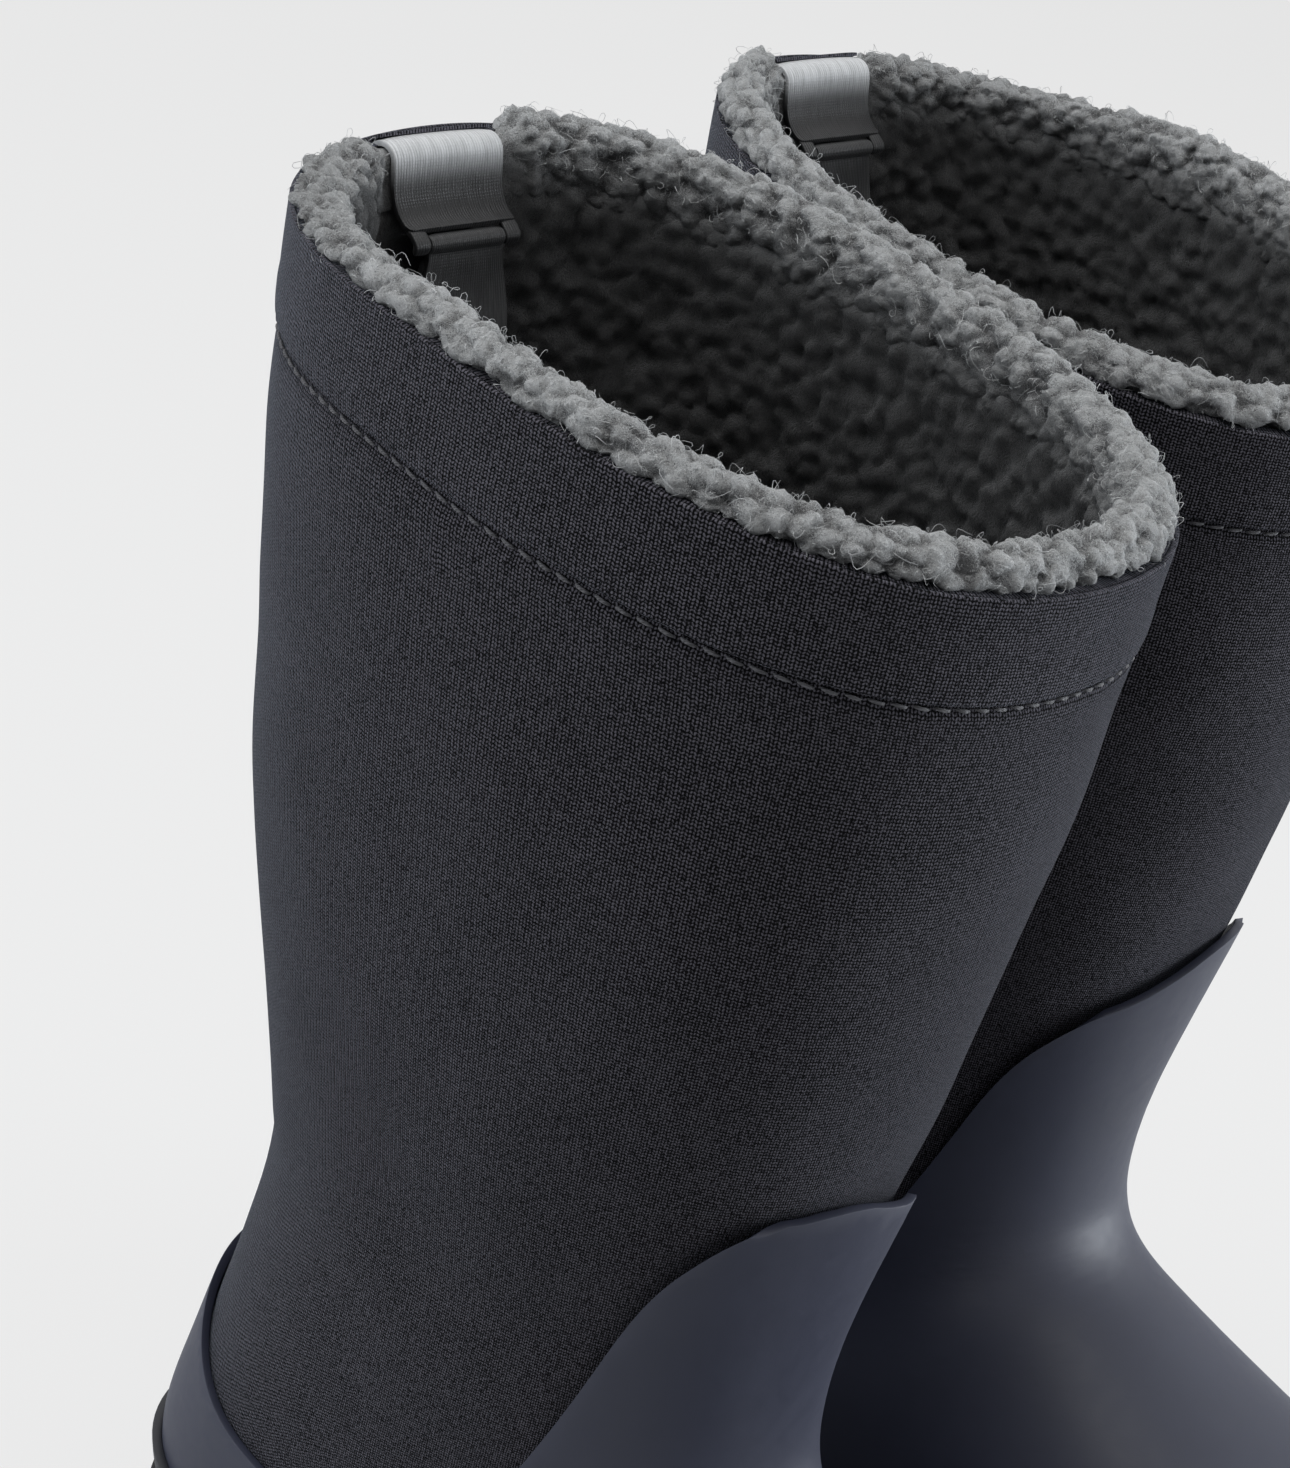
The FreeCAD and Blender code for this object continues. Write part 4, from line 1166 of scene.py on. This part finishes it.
# %% Its tabs round the tack
TAB_WIDTH, TAB_OUT = 3.3, 10.45
tack_y, tack_z = (TACK.y - MIDDLE.y) * 1000, TACK.z * 1000
hook = [(tack_y + 1.8, tack_z + 2.3), (tack_y + 0.5, tack_z + 2.0)] + arc(tack_y, tack_z, KNUCKLE, 110, 240, 5)
tabs = []
for side in (-1, 1):
    tab = strip("tab", [(y, z, TAB_WIDTH, 0.0) for y, z in hook], MIDDLE, side * TAB_OUT / 1000, 4)
    thicken(tab, 1)
    # The tabs are painted dark: painted shade round the tack.
    mark(tab, "worn", np.full(len(tab.data.vertices), 0.02))
    tabs.append(tab)
pick(strap, *tabs)
bpy.ops.object.join()
finish_pair(strap, "boot", ["pull_strap"])

# %% The edge of fabric behind the strap
edging = [(y, z, 25.6, 0.0) for y, z in arc(turn_y, turn_z, turn_radius + 1.15, -14, 78, 8)]
facing = strip("left_strap_facing", edging, MIDDLE)
apply(facing, "SUBSURF", levels=2, render_levels=2)
apply(facing, "SOLIDIFY", thickness=0.0006, offset=0.0)
dress(facing, COLLAR_KNIT)
smooth(facing)
finish_pair(facing, "boot")

# %% Bar tack, wound with thread
TURNS, TURN_PITCH, TURN_LEAN = 30, 0.00073, math.radians(6)
across = math.radians(90)
winding = []
for n in range(TURNS):
    deselect()
    bpy.ops.mesh.primitive_torus_add(
        major_radius=0.00044, minor_radius=0.00026, major_segments=14, minor_segments=6,
        location=(TACK.x + (n - (TURNS - 1) / 2) * TURN_PITCH, TACK.y, TACK.z), rotation=(0, across + TURN_LEAN, 0))
    bpy.ops.object.transform_apply()
    winding.append(bpy.context.object)
deselect()
bpy.ops.mesh.primitive_cylinder_add(vertices=14, radius=0.00045, depth=0.0222, location=TACK, rotation=(0, across, 0))
bpy.ops.object.transform_apply()
core = bpy.context.object
apply(core, "BEVEL", width=0.00015, segments=2, limit_method="ANGLE")
pick(core, *winding)
bpy.ops.object.join()
core.name = core.data.name = "left_tack_thread"
dress(core, TACK_THREAD)
smooth(core, 60)
finish_pair(core, "boot", ["loop_tack"])

# %% [markdown]
# The pull loop
#
# The loop is one length of webbing, folded at the bottom, with both ends closed round the tack. It hangs
# off the wall by a few degrees and swings up on the tack. It is gathered where it goes round the tack, between
# the strap's tabs, and widens below. The front ply has a shallow crease down it, where the hand folds it, and
# the fold at the bottom is round.

# %% Loop
LOOP_LEAN = math.radians(-6)
rows = [(y, z, 16.8, 0.0) for y, z in arc(0, 0, KNUCKLE, -70, 250, 12)]
rows += [  # front ply, fold and back ply
    (-0.75, -2.6, 16.9, 0.0), (-0.75, -5.0, 17.8, 0.1), (-1.35, -9.5, 19.6, -0.5), (-1.9, -14, 20.8, -0.7),
    (-2.1, -20, 21.2, -0.6), (-2.1, -27, 21.4, -0.5), (-1.9, -34, 21.5, -0.4), (-1.8, -40, 21.5, -0.2),
    (-1.35, -44.0, 21.5, 0.0), (0.0, -45.2, 21.5, 0.3), (1.35, -44.0, 21.5, 0.0),
    (1.6, -40, 21.5, 0.1), (1.6, -34, 21.5, 0.1), (1.6, -27, 21.4, 0.1), (1.6, -20, 21.2, 0.1),
    (1.5, -14, 20.8, 0.1), (1.2, -9.5, 19.6, 0.1), (0.75, -5.0, 17.8, 0.0), (0.75, -2.6, 16.9, 0.0),
]
c, s = math.cos(LOOP_LEAN), math.sin(LOOP_LEAN)
loop = strip("left_loop_webbing", [(y * c - z * s, y * s + z * c, width, crease) for y, z, width, crease in rows], TACK)
thicken(loop)
hang = TACK.z - coordinates(loop)[:, 2]
# Painted shade: darkest round the tack and a little paler lower down.
mark(loop, "worn", 0.03 + 0.17 * ease((hang - 0.003) / 0.012))
finish_pair(loop, "loop", ["pull_loop"])

# %% [markdown]
# Rubber: overlays, rand, bumper and sole
#
# These are moulded or cut from sheet, and the CAD has their shape. What a CAD edge lacks is softness: a
# moulded lip is rounded, and that thin round catches a line of light. Each node is copied, its loose
# triangles are merged, and a bevel rounds the sharp edges.

# %% Rounded rubber
def rounded(node, width, material, settle=None):
    """Copy of a node with its sharp edges rounded, moved first as the fabric under it was."""
    piece = merged_copy("left_" + node, "left_" + node + "_moulded")
    if settle:
        settle(piece)
    apply(piece, "BEVEL", width=width, segments=2, limit_method="ANGLE", angle_limit=math.radians(48),
          use_clamp_overlap=True, harden_normals=False)
    dress(piece, material)
    smooth(piece, 35)
    finish_pair(piece, "boot", [node])


rounded("heel_overlay", 0.0005, OVERLAY_RUBBER, settle_heel)
rounded("instep_overlay", 0.0005, OVERLAY_RUBBER, straighten_throat)
rounded("rand", 0.0004, RAND_RUBBER)
rounded("toe_bumper", 0.0004, RAND_RUBBER)
rounded("outsole", 0.0004, SOLE_RUBBER)
rounded("footbed", 0.0006, FELT)

# %% The plies inside
PLIES = {
    "midsole": FOAM, "shank": STEEL, "insole_board": BOARD, "heel_stiffener": PLASTIC, "toe_puff": PLASTIC,
}
for node, finish in PLIES.items():
    for side in ("left_", "right_"):
        NODES[side + node].data.materials.clear()
        NODES[side + node].data.materials.append(finish)
print(len(PLIES), "plies dressed in each boot")

# %% [markdown]
# Stage, light and camera
#
# A plain pale floor, a pale surround, and soft light from overhead and from both sides behind the boots,
# which gives the dark knit its sheen at the edges. The camera looks down into the right boot from ahead and
# outside, turned a little about its own axis.

# %% Floor
deselect()
bpy.ops.mesh.primitive_plane_add(size=8, location=(0, 0, -0.0004))
floor = bpy.context.object
floor.name = "floor"
paper = Finish("floor_paper", Roughness=0.9, Base_Color=(0.80, 0.80, 0.80, 1), Specular_IOR_Level=0.1)
seen_by = paper.add("ShaderNodeLightPath")
glow = paper.add("ShaderNodeEmission", {"Color": (0.88, 0.88, 0.88, 1), "Strength": 1.0})
share = paper.times(seen_by.outputs["Is Camera Ray"], 0.85)
both = paper.add("ShaderNodeMixShader", {0: share, 1: paper.shader.outputs[0], 2: glow.outputs[0]})
paper.set(paper.tree.nodes["Material Output"], {0: both.outputs[0]})
floor.data.materials.append(paper.done())

# %% Surround
world = bpy.data.worlds.new("surround")
bpy.context.scene.world = world
world.use_nodes = True
sky = Graph(world.node_tree)
light = sky.tree.nodes["Background"]
sky.set(light, {"Color": (0.93, 0.96, 1.0, 1), "Strength": 0.13})
seen = sky.add("ShaderNodeBackground", {"Color": (0.84, 0.84, 0.84, 1)})
seen_by = sky.add("ShaderNodeLightPath")
either = sky.add("ShaderNodeMath", {0: seen_by.outputs["Is Camera Ray"], 1: seen_by.outputs["Is Glossy Ray"]},
                 operation="MAXIMUM")
both = sky.add("ShaderNodeMixShader", {0: either.outputs[0], 1: light.outputs[0], 2: seen.outputs[0]})
sky.set(sky.tree.nodes["World Output"], {0: both.outputs[0]})
print("surround with", len(sky.tree.nodes), "nodes")

# %% Lamps
AIM = Vector((-0.03, 0.07, 0.23))
SKYLIGHT = (0.90, 0.95, 1.0)


def softbox(name, place, size, power, colour=(1, 1, 1)):
    deselect()
    bpy.ops.object.light_add(type="AREA", location=place)
    lamp = bpy.context.object
    lamp.name = name
    lamp.data.shape, lamp.data.size, lamp.data.energy, lamp.data.color = "SQUARE", size, power, colour
    lamp.rotation_euler = (AIM - Vector(place)).to_track_quat("-Z", "Y").to_euler()
    print(name, "of", power, "W")


softbox("lamp_top", (-0.15, 0.25, 1.55), 1.1, 12.0)
softbox("lamp_left", (-0.95, 0.90, 0.62), 0.7, 6.5, SKYLIGHT)
softbox("lamp_right", (1.00, -0.85, 0.42), 0.7, 14.0, SKYLIGHT)

# %% Camera
YAW, PITCH, ROLL = math.radians(38.0), math.radians(26.5), math.radians(12.9)
FROM_NEAR_RIM = Vector((-0.36604, -0.28713, 0.16078))
LENS, SENSOR = 76.8, 36.0  # millimetres
look = Vector((math.cos(YAW) * math.cos(PITCH), math.sin(YAW) * math.cos(PITCH), -math.sin(PITCH)))
level = look.cross(Vector((0, 0, 1))).normalized()
upright = level.cross(look)
right = level * math.cos(ROLL) + upright * math.sin(ROLL)
up = upright * math.cos(ROLL) - level * math.sin(ROLL)
near_rim = Vector((-MIDDLE.x, MIDDLE.y - RIGHT_AHEAD, RIM_HEIGHT))
deselect()
bpy.ops.object.camera_add(location=near_rim + FROM_NEAR_RIM)
camera = bpy.context.object
camera.matrix_world = Matrix.Translation(camera.location) @ Matrix((right, up, -look)).transposed().to_4x4()
camera.data.lens, camera.data.sensor_width = LENS, SENSOR
bpy.context.scene.camera = camera
bpy.context.scene.view_settings.view_transform = "Standard"
print("camera at", tuple(round(c, 3) for c in camera.location))
